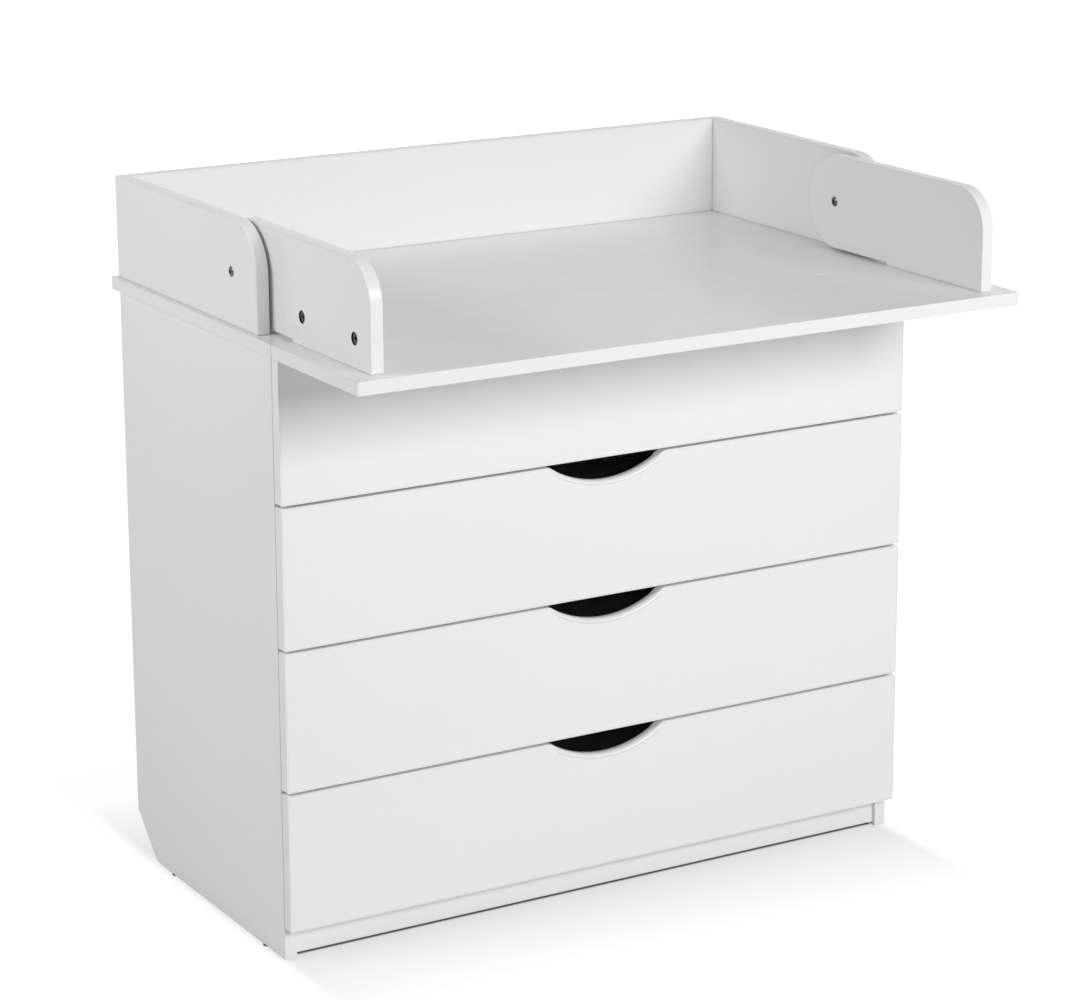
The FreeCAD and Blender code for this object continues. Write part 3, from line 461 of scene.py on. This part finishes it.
def add_piece(name, mesh, material, body, replaced):
    """Put a mesh into the scene, riding on a body and standing for a part."""
    mesh.materials.append(material)
    piece = bpy.data.objects.new(name, mesh)
    bpy.context.scene.collection.objects.link(piece)
    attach(piece, body)
    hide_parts(replaced)


def finish_board(node, body, across, corners=None, radii=None, arris=FRONT_ARRIS, holes=()):
    """Build one board in the place of a part, and let it ride on the body.

    arris is a radius, or a function that gives one for each point of the outline.
    """
    low, high = corners_of(node)
    u, v, w = PLANES[across]
    if corners is None:
        corners = [(low[u], low[v]), (high[u], low[v]), (high[u], high[v]), (low[u], high[v])]
    if radii is None:
        radii = [FILED_CORNER] * len(corners)
    outline = rounded_outline(corners, radii)
    if callable(arris):
        arris = arris(outline[0])
    name = node + "_board"
    mesh = board_mesh(name, outline, across, low[w], high[w], arris, holes)
    add_piece(name, mesh, white_board, body, node)
    finished.append(node)


print("arrises from %.1f to %.1f mm" % (TIGHT_ARRIS * 1000, WALL_ARRIS * 1000))

# %% [markdown]
# ## The changing top
# The flap and the fixed board lie butted together. The fixed one is screwed from below
# into the walls, so it has recesses for ten screw heads underneath. The rear walls
# are rounded at the front top corner with a 60 mm radius. A flap wall ends in a half
# circle about the pivot, so that it can turn over the fixed board, and its underside
# steps up there to stay clear of it. As outlines these are only longer lists of corners,
# which is simpler than cutting them out. Two cam housings sit in each flap wall's outer
# face.

# %% Places on the top
BOARD_THICKNESS = 0.016
# The pivot lies behind the rear walls' front edge and above the fixed board.
PIVOT_SETBACK = 0.066
PIVOT_RISE = 0.06375

rear_low, rear_high = corners_of("rear_wall_right")
flap_low, flap_high = corners_of("flap_wall_right")
back_low, back_high = corners_of("back_wall")
deck_height = corners_of("top_board")[1][2]
joint_y = corners_of("flap_board")[1][1]
pivot = np.array([rear_low[1] + PIVOT_SETBACK, deck_height + PIVOT_RISE])
turning_radius = flap_high[2] - pivot[1]
print("flap walls turn on a radius of %.1f mm" % (turning_radius * 1000))

# %% The two boards and the back wall
SCREW_SETBACK = 0.030
BACK_SCREW_SETBACK = 0.080
SCREW_HOLE_RADIUS = 0.0051
SCREW_HOLE_DEPTH = 0.003

screw_ys = [rear_low[1] + SCREW_SETBACK, (rear_low[1] + rear_high[1]) / 2,
            rear_high[1] - BOARD_THICKNESS - SCREW_SETBACK]
side_screw_x = (rear_low[0] + rear_high[0]) / 2
screw_places = [(side * side_screw_x, y) for side in (-1, 1) for y in screw_ys]
screw_places += [(x, (back_low[1] + back_high[1]) / 2)
                 for x in np.linspace(-1, 1, 4) * (rear_low[0] - BACK_SCREW_SETBACK)]
screw_holes = [(place, SCREW_HOLE_RADIUS, SCREW_HOLE_DEPTH, "low") for place in screw_places]
finish_board("flap_board", "flap", "z", arris=TIGHT_ARRIS)
finish_board("top_board", "cabinet", "z", arris=TIGHT_ARRIS, holes=screw_holes)
finish_board("back_wall", "cabinet", "y", arris=WALL_ARRIS)
print("screw recesses:", len(screw_holes))

# %% The side walls
REAR_WALL_ROUND = 0.060
FLAP_WALL_ROUND = 0.050
STEP_CORNER = 0.001
CAM_HOLE_RADIUS = 0.0076
CAM_DEPTH = 0.0125
CAM_REACH = 0.034
FLAP_CAM_SETBACKS = (0.0385, 0.1665)

rear_corners = [(rear_low[1], rear_low[2]), (rear_high[1], rear_low[2]),
                (rear_high[1], rear_high[2]), (rear_low[1], rear_high[2])]
step_height = 2 * pivot[1] - flap_high[2]
flap_corners = [(flap_low[1], flap_low[2]), (joint_y, flap_low[2]),
                (joint_y, step_height), (flap_high[1], step_height),
                (flap_high[1], flap_high[2]), (flap_low[1], flap_high[2])]
for side in ("left", "right"):
    finish_board("rear_wall_" + side, "cabinet", "x", rear_corners,
                 [FILED_CORNER] * 3 + [REAR_WALL_ROUND], WALL_ARRIS)
    cams = [((flap_low[1] + setback, flap_low[2] + CAM_REACH), CAM_HOLE_RADIUS, CAM_DEPTH,
             face_of(side, outer=True)) for setback in FLAP_CAM_SETBACKS]
    finish_board("flap_wall_" + side, "flap", "x", flap_corners,
                 [FILED_CORNER, FILED_CORNER, STEP_CORNER, turning_radius, turning_radius,
                  FLAP_WALL_ROUND], WALL_ARRIS, cams)
print("step under a flap wall: %.1f mm" % ((step_height - flap_low[2]) * 1000))

# %% [markdown]
# ## The case
# A side panel nearly reaches the floor and has its lower rear corner cut off, to pass a
# skirting board. A Boolean could saw that corner off, but in an outline it is just one
# more corner, and it gets its arris like the rest. The plinth stands a little back
# between the two sides. Cam housings join them, and their holes are drilled in the faces
# that look inward.

# %% Side panels and plinth
SKIRTING_CUT = 0.055
SKIRTING_ROUND = 0.020
SKIRTING_CORNER = 0.003
CAM_SETBACK = 0.070

side_low, side_high = corners_of("side_panel_right")
panel_y = corners_of("back_panel")[0][1]
side_corners = [(side_low[1], side_low[2]), (side_high[1] - SKIRTING_CUT, side_low[2]),
                (side_high[1], side_low[2] + SKIRTING_CUT),
                (side_high[1], side_high[2]), (side_low[1], side_high[2])]
for side in ("left", "right"):
    cams = [((y, side_high[2] - CAM_REACH), CAM_HOLE_RADIUS, CAM_DEPTH,
             face_of(side, outer=False))
            for y in (side_low[1] + CAM_SETBACK, panel_y - CAM_SETBACK)]
    finish_board("side_panel_" + side, "cabinet", "x", side_corners,
                 [FILED_CORNER, SKIRTING_ROUND, SKIRTING_CORNER, FILED_CORNER, FILED_CORNER],
                 holes=cams)

plinth_low, plinth_high = corners_of("plinth")
plinth_cams = [((end * (plinth_high[0] - CAM_REACH), (plinth_low[2] + plinth_high[2]) / 2),
                CAM_HOLE_RADIUS, CAM_DEPTH, "high") for end in (-1, 1)]
finish_board("plinth", "cabinet", "y", holes=plinth_cams)
print("plinth stands back by %.1f mm" % ((plinth_low[1] - side_low[1]) * 1000))

# %% [markdown]
# ## Drawers
# The finger cut-out is a wide hollow that two lips carry into the top edge. It could be
# cut out with a Boolean, but its edge has to be as round as the rest, so it is part of
# the outline and has three corners: with half width w, depth d and lip radius r, the
# hollow's radius is R = (w * w + d * d) / 2d - r, and lip and hollow meet at a slope of
# asin(w / (R + r)). The arris grows from 0.5 to 6.5 mm there, kind to fingers: with s
# how far a point lies below the top edge, it is 0.5 + 6 * min(s / 8 mm, 1). Sides and
# back of a drawer box are 12 mm board.

# %% The finger cut-out
GRIP_HALF_WIDTH = 0.085
GRIP_DEPTH = 0.026
GRIP_LIP = 0.012
GRIP_ARRIS = 0.0065
GRIP_RUN_IN = 0.008
GRIP_HOLLOW = (GRIP_HALF_WIDTH ** 2 + GRIP_DEPTH ** 2) / (2 * GRIP_DEPTH) - GRIP_LIP
# Points deeper than this lie on the front's lower edge, not in the cut-out.
BELOW_GRIP = 1.1 * GRIP_DEPTH


def front_outline(low, high):
    """Corners and radii of a drawer front with its finger cut-out.

    The lips' corners lie at w - r * tan(slope / 2), and the hollow's corner lies
    R / cos(slope) below its centre.
    """
    slope = np.arcsin(GRIP_HALF_WIDTH / (GRIP_HOLLOW + GRIP_LIP))
    lip_x = GRIP_HALF_WIDTH - GRIP_LIP * np.tan(slope / 2)
    lowest = high[2] - GRIP_DEPTH + GRIP_HOLLOW - GRIP_HOLLOW / np.cos(slope)
    corners = [(low[0], low[2]), (high[0], low[2]), (high[0], high[2]), (lip_x, high[2]),
               (0.0, lowest), (-lip_x, high[2]), (low[0], high[2])]
    return corners, [FILED_CORNER] * 3 + [GRIP_LIP, GRIP_HOLLOW, GRIP_LIP, FILED_CORNER]


def front_arris(points):
    """Arris radius at each point of a front's outline, larger in the finger cut-out."""
    sunk = points[:, 1].max() - points[:, 1]
    in_grip = (abs(points[:, 0]) < GRIP_HALF_WIDTH + GRIP_LIP) & (sunk < BELOW_GRIP)
    growth = in_grip * np.minimum(sunk / GRIP_RUN_IN, 1)
    return FRONT_ARRIS + (GRIP_ARRIS - FRONT_ARRIS) * growth


print("radius of the hollow: %.0f mm" % (GRIP_HOLLOW * 1000))

# %% Fronts and boxes
SHORT_CAM_DEPTH = 0.0095
SHORT_CAM_REACH = 0.024
CAM_FROM_EDGE = 0.025
DRAWERS = ["drawer_%d" % number for number in (1, 2, 3, 4)]

for drawer in DRAWERS:
    corners, radii = front_outline(*corners_of(drawer + "_front"))
    finish_board(drawer + "_front", drawer, "y", corners, radii, front_arris)
    for side in ("left", "right"):
        node = "%s_side_%s" % (drawer, side)
        low, high = corners_of(node)
        cams = [((low[1] + SHORT_CAM_REACH, z), CAM_HOLE_RADIUS, SHORT_CAM_DEPTH,
                 face_of(side, outer=False))
                for z in (low[2] + CAM_FROM_EDGE, high[2] - CAM_FROM_EDGE)]
        finish_board(node, drawer, "x", arris=TIGHT_ARRIS, holes=cams)
    finish_board(drawer + "_back", drawer, "y", arris=TIGHT_ARRIS)
print("boards finished:", len(finished))

# %% [markdown]
# ## Fittings with recesses
# A cam housing shows a zinc disc with a cross for the screwdriver, and a pivot shows a
# domed nickel head with a hexagon socket. The recesses could be cut with Booleans, which
# leave ragged faces on parts as small as these. Both are seen end-on, so both are one
# polar surface: rings that first follow the recess's own outline and then grow out to
# the rim. For a hexagon with inner radius a, the outline is a / cos(t), with t counted
# from the middle of the nearest side. A cross with arms of length m and half width n is
# the wider of its two bars.

# %% Recess outlines and the surface round them
SPOKES = 72
ALMOST_ZERO = 1e-9
SHARP_ANGLE = np.radians(32)
# Rings of a recess: share of its outline, and share of its depth.
RECESS_RINGS = ((0.05, 1.0), (0.90, 1.0), (0.97, 0.1), (1.03, 0.0))


def hexagon(turn, inner_radius):
    """Distance from the middle to a hexagon's edge: a / cos(angle from a side's middle)."""
    return inner_radius / np.cos((turn % (np.pi / 3)) - np.pi / 6)


def cross(turn, arm, half_width):
    """Distance from the middle to a cross's edge: the larger reach of its two bars.

    A bar with half sides p and q reaches min(p / cos t, q / sin t).
    """
    along = np.maximum(abs(np.cos(turn)), ALMOST_ZERO)
    aside = np.maximum(abs(np.sin(turn)), ALMOST_ZERO)
    return np.maximum(np.minimum(arm / along, half_width / aside),
                      np.minimum(half_width / along, arm / aside))


def head_surface(centre, outward, recess, depth, outer_rings):
    """Points (ring, spoke) of a fitting's end with a recess.

    Ring k at angle t lies at radius r(k, t) from the axis and height h(k) above the
    board. Inside the recess r is a share of the recess's own outline, outside it runs to
    the outer rings, each given as (radius, height).
    """
    turn = np.linspace(0, 2 * np.pi, SPOKES, endpoint=False)
    top = outer_rings[0][1]
    rings = [(share * recess(turn), top - sunk * depth) for share, sunk in RECESS_RINGS]
    rings += [(np.full(SPOKES, radius), height) for radius, height in outer_rings]
    radii = np.stack([radius for radius, height in rings])
    heights = np.array([height for radius, height in rings])[:, None]
    axis = int(np.argmax(abs(outward)))
    sense = np.sign(outward[axis])
    points = np.empty((*radii.shape, 3))
    points[..., (axis + 1) % 3] = radii * np.cos(turn)
    points[..., (axis + 2) % 3] = radii * np.sin(turn) * sense
    points[..., axis] = heights * sense
    return points + centre


def closed_rings(name, surfaces):
    """One mesh from surfaces of closed rings, their first and last rings capped."""
    points, faces, first = [], [], 0
    for surface in surfaces:
        rings, around = surface.shape[:2]
        last = first + (rings - 1) * around
        faces += [quad[::-1] for quad in grid_faces(rings, around, first)]
        faces.append(list(range(first, first + around)))
        faces.append(list(range(last, last + around))[::-1])
        points.append(surface.reshape(-1, 3))
        first += rings * around
    mesh = bpy.data.meshes.new(name)
    mesh.from_pydata(np.concatenate(points), [], faces)
    mesh.polygons.foreach_set("use_smooth", np.ones(len(faces), bool))
    mesh.set_sharp_from_angle(angle=SHARP_ANGLE)
    mesh.update()
    return mesh


print("spokes of a fitting:", SPOKES)

# %% [markdown]
# ## Metals, plastics and wood
# Zinc die-cast is dull and slightly mottled, so its colour and gloss follow a noise. Its
# tone is far darker than bare zinc: painted shade on top of the real shade of the recesses.
# Nickel plate is smooth and mirrors the room, and only little of it wanders. Its tone is
# painted nearly black, a painted dark reflection in place of the darker room it would mirror.
# Rolled steel has fine lines along the way it was rolled: a noise that is stretched
# along Y draws them. Plastics, the dowels and the hardboard back are mottled in the same
# way but dull. Texture pictures could show all this, but they have seams and a fixed
# size, and a noise has neither. So one helper makes every finish from one row of numbers.

# %% Mottled finishes
METAL_RELIEF = 4e-6


def mottled(name, colour, darker, roughness, grain, relief=METAL_RELIEF, metallic=1.0,
            stretch=(1, 1, 1)):
    """A finish whose tone, gloss and relief all follow one noise."""
    material, tree, shader = new_material(name)
    value = noise(tree, grain, FINE_DETAIL, stretch)
    tone = blend_colours(tree, spread(tree, value, 0, 1, *NOISE_MIDDLE), colour, darker)
    tree.links.new(tone, shader.inputs["Base Color"])
    tree.links.new(spread(tree, value, *roughness, *NOISE_MIDDLE), shader.inputs["Roughness"])
    shader.inputs["Metallic"].default_value = metallic
    bump(tree, shader, value, relief)
    return material


# Tone far darker than bare zinc: partly painted shade for the housings' recesses.
zinc_with_painted_shade = mottled("zinc die casting with painted shade", (0.15, 0.15, 0.155, 1), (0.10, 0.10, 0.105, 1),
                    (0.38, 0.55), 900.0)
# Tone painted nearly black: a painted dark reflection in place of a darker room.
nickel_painted_dark = mottled("nickel plate", (0.13, 0.128, 0.125, 1), (0.10, 0.098, 0.095, 1),
                 (0.22, 0.30), 500.0)
runner_steel = mottled("galvanised runner steel", (0.55, 0.56, 0.57, 1),
                       (0.46, 0.47, 0.48, 1), (0.28, 0.42), 160.0, stretch=(6, 0.25, 6))
bolt_steel = mottled("steel bolts", (0.50, 0.50, 0.51, 1), (0.40, 0.40, 0.41, 1),
                     (0.28, 0.40), 700.0)
white_nylon = mottled("nylon washer", (0.78, 0.78, 0.76, 1), (0.72, 0.72, 0.70, 1),
                      (0.35, 0.50), 600.0, relief=8e-6, metallic=0.0)
dark_plastic = mottled("glide plastic", (0.018, 0.018, 0.019, 1), (0.012, 0.012, 0.013, 1),
                       (0.60, 0.75), 700.0, relief=10e-6, metallic=0.0)
beech = mottled("beech dowel", (0.60, 0.42, 0.26, 1), (0.48, 0.31, 0.18, 1),
                (0.55, 0.70), 350.0, relief=20e-6, metallic=0.0)
hardboard = mottled("white lacquered hardboard", (0.80, 0.80, 0.79, 1),
                    (0.75, 0.75, 0.74, 1), (0.40, 0.55), 260.0, relief=12e-6, metallic=0.0)
print("finishes so far:", len(bpy.data.materials))

# %% [markdown]
# ## Cams and pivots
# The cams sit 1.5 mm below the board's face, on a drum with a narrow chamfer. The pivot
# heads are flat domes, cut from a ball, with a hexagon socket in the middle. A dome could
# be a squashed sphere, but a true piece of a ball gives the small crescent of light that
# such heads show. Their shanks go through the walls.

# %% Shapes of cams and pivot heads
# Heights are counted outwards from the board's face.
CAM_TOP = -0.0015
CAM_RIM_RADII = (0.0066, 0.0071, 0.0075)
CAM_CHAMFER = 0.0004
# Length of an arm, and half its width.
CAM_CROSS = (0.0048, 0.0012)
CAM_CROSS_DEPTH = 0.0030
CAM_FLOOR_GAP = 0.0003
DOME_BALL = 0.0108
DOME_SUNK = 0.0086
DOME_ANGLES = np.radians(np.linspace(16.0, 37.0, 8))
HEAD_RADIUS = 0.0065
SOCKET_RADIUS = 0.0022
SOCKET_DEPTH = 0.0014


def cam_disc(centre, outward, hole_depth):
    """A cam housing in its hole: cross recess, flat end, chamfer, straight drum."""
    face, edge, drum = CAM_RIM_RADII
    rim = [(face, CAM_TOP), (edge, CAM_TOP), (drum, CAM_TOP - CAM_CHAMFER),
           (drum, CAM_FLOOR_GAP - hole_depth)]
    return head_surface(centre, outward, lambda turn: cross(turn, *CAM_CROSS),
                        CAM_CROSS_DEPTH, rim)


def pivot_head(centre, outward, shank_radius, shank_length):
    """A domed head with a hexagon socket, on its shank.

    The dome is part of a ball of radius 10.8 mm: at angle a from the axis, the radius
    is 10.8 sin a and the height 10.8 cos a - 8.6, down to the rim at 37 degrees.
    """
    dome = list(zip(DOME_BALL * np.sin(DOME_ANGLES),
                    DOME_BALL * np.cos(DOME_ANGLES) - DOME_SUNK))
    rim = dome + [(HEAD_RADIUS, 0.0), (shank_radius, 0.0), (shank_radius, -shank_length)]
    return head_surface(centre, outward, lambda turn: hexagon(turn, SOCKET_RADIUS),
                        SOCKET_DEPTH, rim)


def mirrored_pair(x, y, z):
    """The same place on the left and the right, each with its direction outwards."""
    return [(np.array([side * x, y, z]), np.array([side, 0.0, 0.0])) for side in (-1, 1)]


def place_fittings(name, surfaces, body, material, replaced):
    """Put a group of fittings into the scene in the place of a part."""
    add_piece(name, closed_rings(name, surfaces), material, body, replaced)
    print(name + ":", len(surfaces))


print("dome: %.1f mm high" % (1000 * (DOME_BALL * np.cos(DOME_ANGLES[0]) - DOME_SUNK)))

# %% Cams and pivots in their places
# Radius and length.
SCREW_SHANK = (0.0030, 0.0330)
SLEEVE_SHANK = (0.0040, 0.0155)

flap_cams = [cam_disc(centre, outward, CAM_DEPTH)
             for setback in FLAP_CAM_SETBACKS
             for centre, outward in mirrored_pair(flap_high[0], flap_low[1] + setback,
                                                  flap_low[2] + CAM_REACH)]
place_fittings("flap_cam_discs", flap_cams, "flap", zinc_with_painted_shade, "flap_cams")

for drawer in DRAWERS:
    low, high = corners_of(drawer + "_side_right")
    cams = [cam_disc(centre, -outward, SHORT_CAM_DEPTH)
            for z in (low[2] + CAM_FROM_EDGE, high[2] - CAM_FROM_EDGE)
            for centre, outward in mirrored_pair(low[0], low[1] + SHORT_CAM_REACH, z)]
    place_fittings(drawer + "_cam_discs", cams, drawer, zinc_with_painted_shade,
                   drawer + "_cams")

screw_heads = [pivot_head(centre, outward, *SCREW_SHANK)
               for centre, outward in mirrored_pair(rear_high[0], *pivot)]
place_fittings("pivot_screw_heads", screw_heads, "cabinet", nickel_painted_dark,
               "pivot_screws")
sleeve_heads = [pivot_head(centre, -outward, *SLEEVE_SHANK)
                for centre, outward in mirrored_pair(flap_low[0], *pivot)]
place_fittings("pivot_sleeve_heads", sleeve_heads, "flap", nickel_painted_dark,
               "pivot_sleeves")

# %% [markdown]
# ## Parts that keep their shape
# Runners, bolts, screws, washers, dowels, glides and hardboard are right as they were
# built. Modelling them again would only add errors, so they just get their finish in
# the material slots that they already have.

# %% Finishes for the parts that stay
KEPT_FINISHES = {
    "runner_rails": runner_steel, "wall_screws": bolt_steel, "case_bolts": bolt_steel,
    "flap_bolts": bolt_steel, "case_cams": zinc_with_painted_shade, "pivot_washers": white_nylon,
    "glides": dark_plastic, "wall_dowels": beech, "back_panel": hardboard,
    "bottom_panel": white_face,
}
for drawer in DRAWERS:
    KEPT_FINISHES[drawer + "_slides"] = runner_steel
    KEPT_FINISHES[drawer + "_carriers"] = runner_steel
    KEPT_FINISHES[drawer + "_bolts"] = bolt_steel
    KEPT_FINISHES[drawer + "_bottom"] = hardboard
for node, material in KEPT_FINISHES.items():
    for slot in nodes[node].material_slots:
        slot.material = material
print("parts with a new finish only:", len(KEPT_FINISHES))

# %% [markdown]
# ## Studio
# The photograph has a white room, a broad light from the front and weaker light from the
# side: the fronts are brightest, the left side and the top are a soft grey. An image of a
# studio could light it, but three area lamps and an even world are plainer and give the
# same. The third lamp stands low behind the dresser and only lights its back. The camera
# and mirror-like surfaces see the world as plain white. Colours are shown as they come
# out, without a film curve, which would turn that white to grey.

# %% Helpers for light paths, and the world
bpy.context.scene.view_settings.view_transform = "Standard"
WORLD_LEVEL = 0.29


def scalar_step(tree, operation, first, second):
    """One operation on two numbers."""
    node = tree.nodes.new("ShaderNodeMath")
    node.operation = operation
    tree.links.new(first, node.inputs[0])
    tree.links.new(second, node.inputs[1])
    return node.outputs[0]


def seen_directly(tree):
    """1 for rays from the camera, and for reflections and refractions, else 0."""
    path = tree.nodes.new("ShaderNodeLightPath")
    mirrored = scalar_step(tree, "MAXIMUM", path.outputs["Is Glossy Ray"],
                           path.outputs["Is Transmission Ray"])
    return scalar_step(tree, "MAXIMUM", path.outputs["Is Camera Ray"], mirrored)


world = bpy.data.worlds.new("studio")
world.use_nodes = True
bpy.context.scene.world = world
world_tree = world.node_tree
background = world_tree.nodes["Background"]
background.inputs["Color"].default_value = (1, 1, 1, 1)
world_tree.links.new(spread(world_tree, seen_directly(world_tree), WORLD_LEVEL, 1.0),
                     background.inputs["Strength"])
print("world level on surfaces:", WORLD_LEVEL)

# %% [markdown]
# ## Floor
# The photograph's floor is white, with a soft shadow in front of the dresser and a dark
# gap below the plinth. A floor as bright as that would throw too much light back up. So
# the floor has two colours: a pale one for the light that bounces off it, and a dark one
# for the camera, where a glow is added. The glow is nothing under the dresser, jumps to
# most of its strength at its foot, and rises slowly from there until the floor is white.
# The distance is measured from the dresser's foot as from a box: outside it, each
# coordinate counts as |place - middle| - half size. The way to the front counts at 8 %,
# which draws the shadow there long and soft. That soft shadow round the dresser is mostly
# a painted shadow, with a weak real one in it: the glow is painted light, none under the
# dresser and less near its foot. The dark gap below the plinth is real shade made darker
# by painted shade, the camera's dark floor colour with no glow on it.

# %% The floor's colours and glow
FLOOR_COLOUR = (0.70, 0.705, 0.705, 1)
# The camera sees the floor in this dark colour: painted shade, which the glow lifts to white
# away from the dresser.
FLOOR_SEEN_SHADE_COLOUR = (0.25, 0.252, 0.252, 1)
FLOOR_REACH = 12.0
FOOT_INSET = 0.012
FRONT_SHARE = 0.08
# Each rise of the painted light: where it starts and ends, and how much glow it adds.
PAINTED_LIGHT_RISES = ((0.0, 0.0003, 0.60), (0.0, 0.02, 0.24), (0.02, 0.045, 0.06), (0.045, 0.8, 0.12))


def vector_step(tree, operation, vector, operand=None):
    """One operation on a vector, with a fixed second vector where it takes one."""
    node = tree.nodes.new("ShaderNodeVectorMath")
    node.operation = operation
    tree.links.new(vector, node.inputs[0])
    if operand is not None:
        node.inputs[1].default_value = operand
    return node.outputs["Value" if operation == "LENGTH" else "Vector"]


def foot_distance(tree):
    """Distance on the floor from the dresser's foot, zero under it."""
    rear_foot = side_high[1] - SKIRTING_CUT
    middle = (0.0, (plinth_low[1] + rear_foot) / 2, 0.0)
    half_size = (side_high[0] - FOOT_INSET, (rear_foot - plinth_low[1]) / 2 - FOOT_INSET, 0.0)
    outside = tree.nodes.new("ShaderNodeTexCoord").outputs["Object"]
    for operation, operand in (("SUBTRACT", middle), ("ABSOLUTE", None),
                               ("SUBTRACT", half_size), ("MAXIMUM", (0, 0, 0)),
                               ("MULTIPLY", (1.0, FRONT_SHARE, 0))):
        outside = vector_step(tree, operation, outside, operand)
    return vector_step(tree, "LENGTH", outside)


floor_material = bpy.data.materials.new("pale floor with painted shadow")
floor_material.use_nodes = True
floor_tree = floor_material.node_tree
floor_tree.nodes.remove(floor_tree.nodes["Principled BSDF"])
floor_seen = seen_directly(floor_tree)
floor_paint = floor_tree.nodes.new("ShaderNodeBsdfDiffuse")
floor_tree.links.new(blend_colours(floor_tree, floor_seen, FLOOR_COLOUR, FLOOR_SEEN_SHADE_COLOUR),
                     floor_paint.inputs["Color"])
distance = foot_distance(floor_tree)
rises = [spread(floor_tree, distance, 0.0, rise, start, end)
         for start, end, rise in PAINTED_LIGHT_RISES]
painted_light_level = rises[0]
for rise in rises[1:]:
    painted_light_level = scalar_step(floor_tree, "ADD", painted_light_level, rise)
# Painted light for the camera: none under the dresser and less near its foot, which makes a
# painted shadow.
painted_floor_light = floor_tree.nodes.new("ShaderNodeEmission")
floor_tree.links.new(scalar_step(floor_tree, "MULTIPLY", floor_seen, painted_light_level),
                     painted_floor_light.inputs["Strength"])
floor_sum = floor_tree.nodes.new("ShaderNodeAddShader")
floor_tree.links.new(floor_paint.outputs[0], floor_sum.inputs[0])
floor_tree.links.new(painted_floor_light.outputs[0], floor_sum.inputs[1])
floor_tree.links.new(floor_sum.outputs[0],
                     floor_tree.nodes["Material Output"].inputs["Surface"])
print("full glow: %.2f" % sum(rise for start, end, rise in PAINTED_LIGHT_RISES))

# %% The floor itself
floor_mesh = bpy.data.meshes.new("floor")
floor_mesh.from_pydata([(-FLOOR_REACH, -FLOOR_REACH, 0), (FLOOR_REACH, -FLOOR_REACH, 0),
                        (FLOOR_REACH, FLOOR_REACH, 0), (-FLOOR_REACH, FLOOR_REACH, 0)],
                       [], [(0, 1, 2, 3)])
floor_mesh.materials.append(floor_material)
floor = bpy.data.objects.new("floor", floor_mesh)
bpy.context.scene.collection.objects.link(floor)
print("floor: %.0f m square" % (2 * FLOOR_REACH))

# %% Lamps
# Each lamp: name, place, target, width, height, and power in watts.
LAMPS = (
    ("front lamp", (0.9, -4.9, 2.6), (0, 0, 0.45), 2.8, 1.7, 178),
    ("left lamp", (-2.24, 0.2, 1.65), (-0.2, 0, 0.85), 0.9, 0.7, 18.5),
    ("rear lamp", (2.4, 3.6, 0.55), (0, 0, 0.4), 2.0, 0.9, 55),
)


def soft_lamp(name, place, target, width, height, power):
    """A large rectangular lamp at place, turned towards target."""
    data = bpy.data.lights.new(name, "AREA")
    data.shape = "RECTANGLE"
    data.size, data.size_y, data.energy = width, height, power
    lamp = bpy.data.objects.new(name, data)
    lamp.location = place
    lamp.rotation_euler = (Vector(target) - Vector(place)).to_track_quat("-Z", "Y").to_euler()
    bpy.context.scene.collection.objects.link(lamp)


for lamp_values in LAMPS:
    soft_lamp(*lamp_values)
print("lamps:", len(LAMPS))
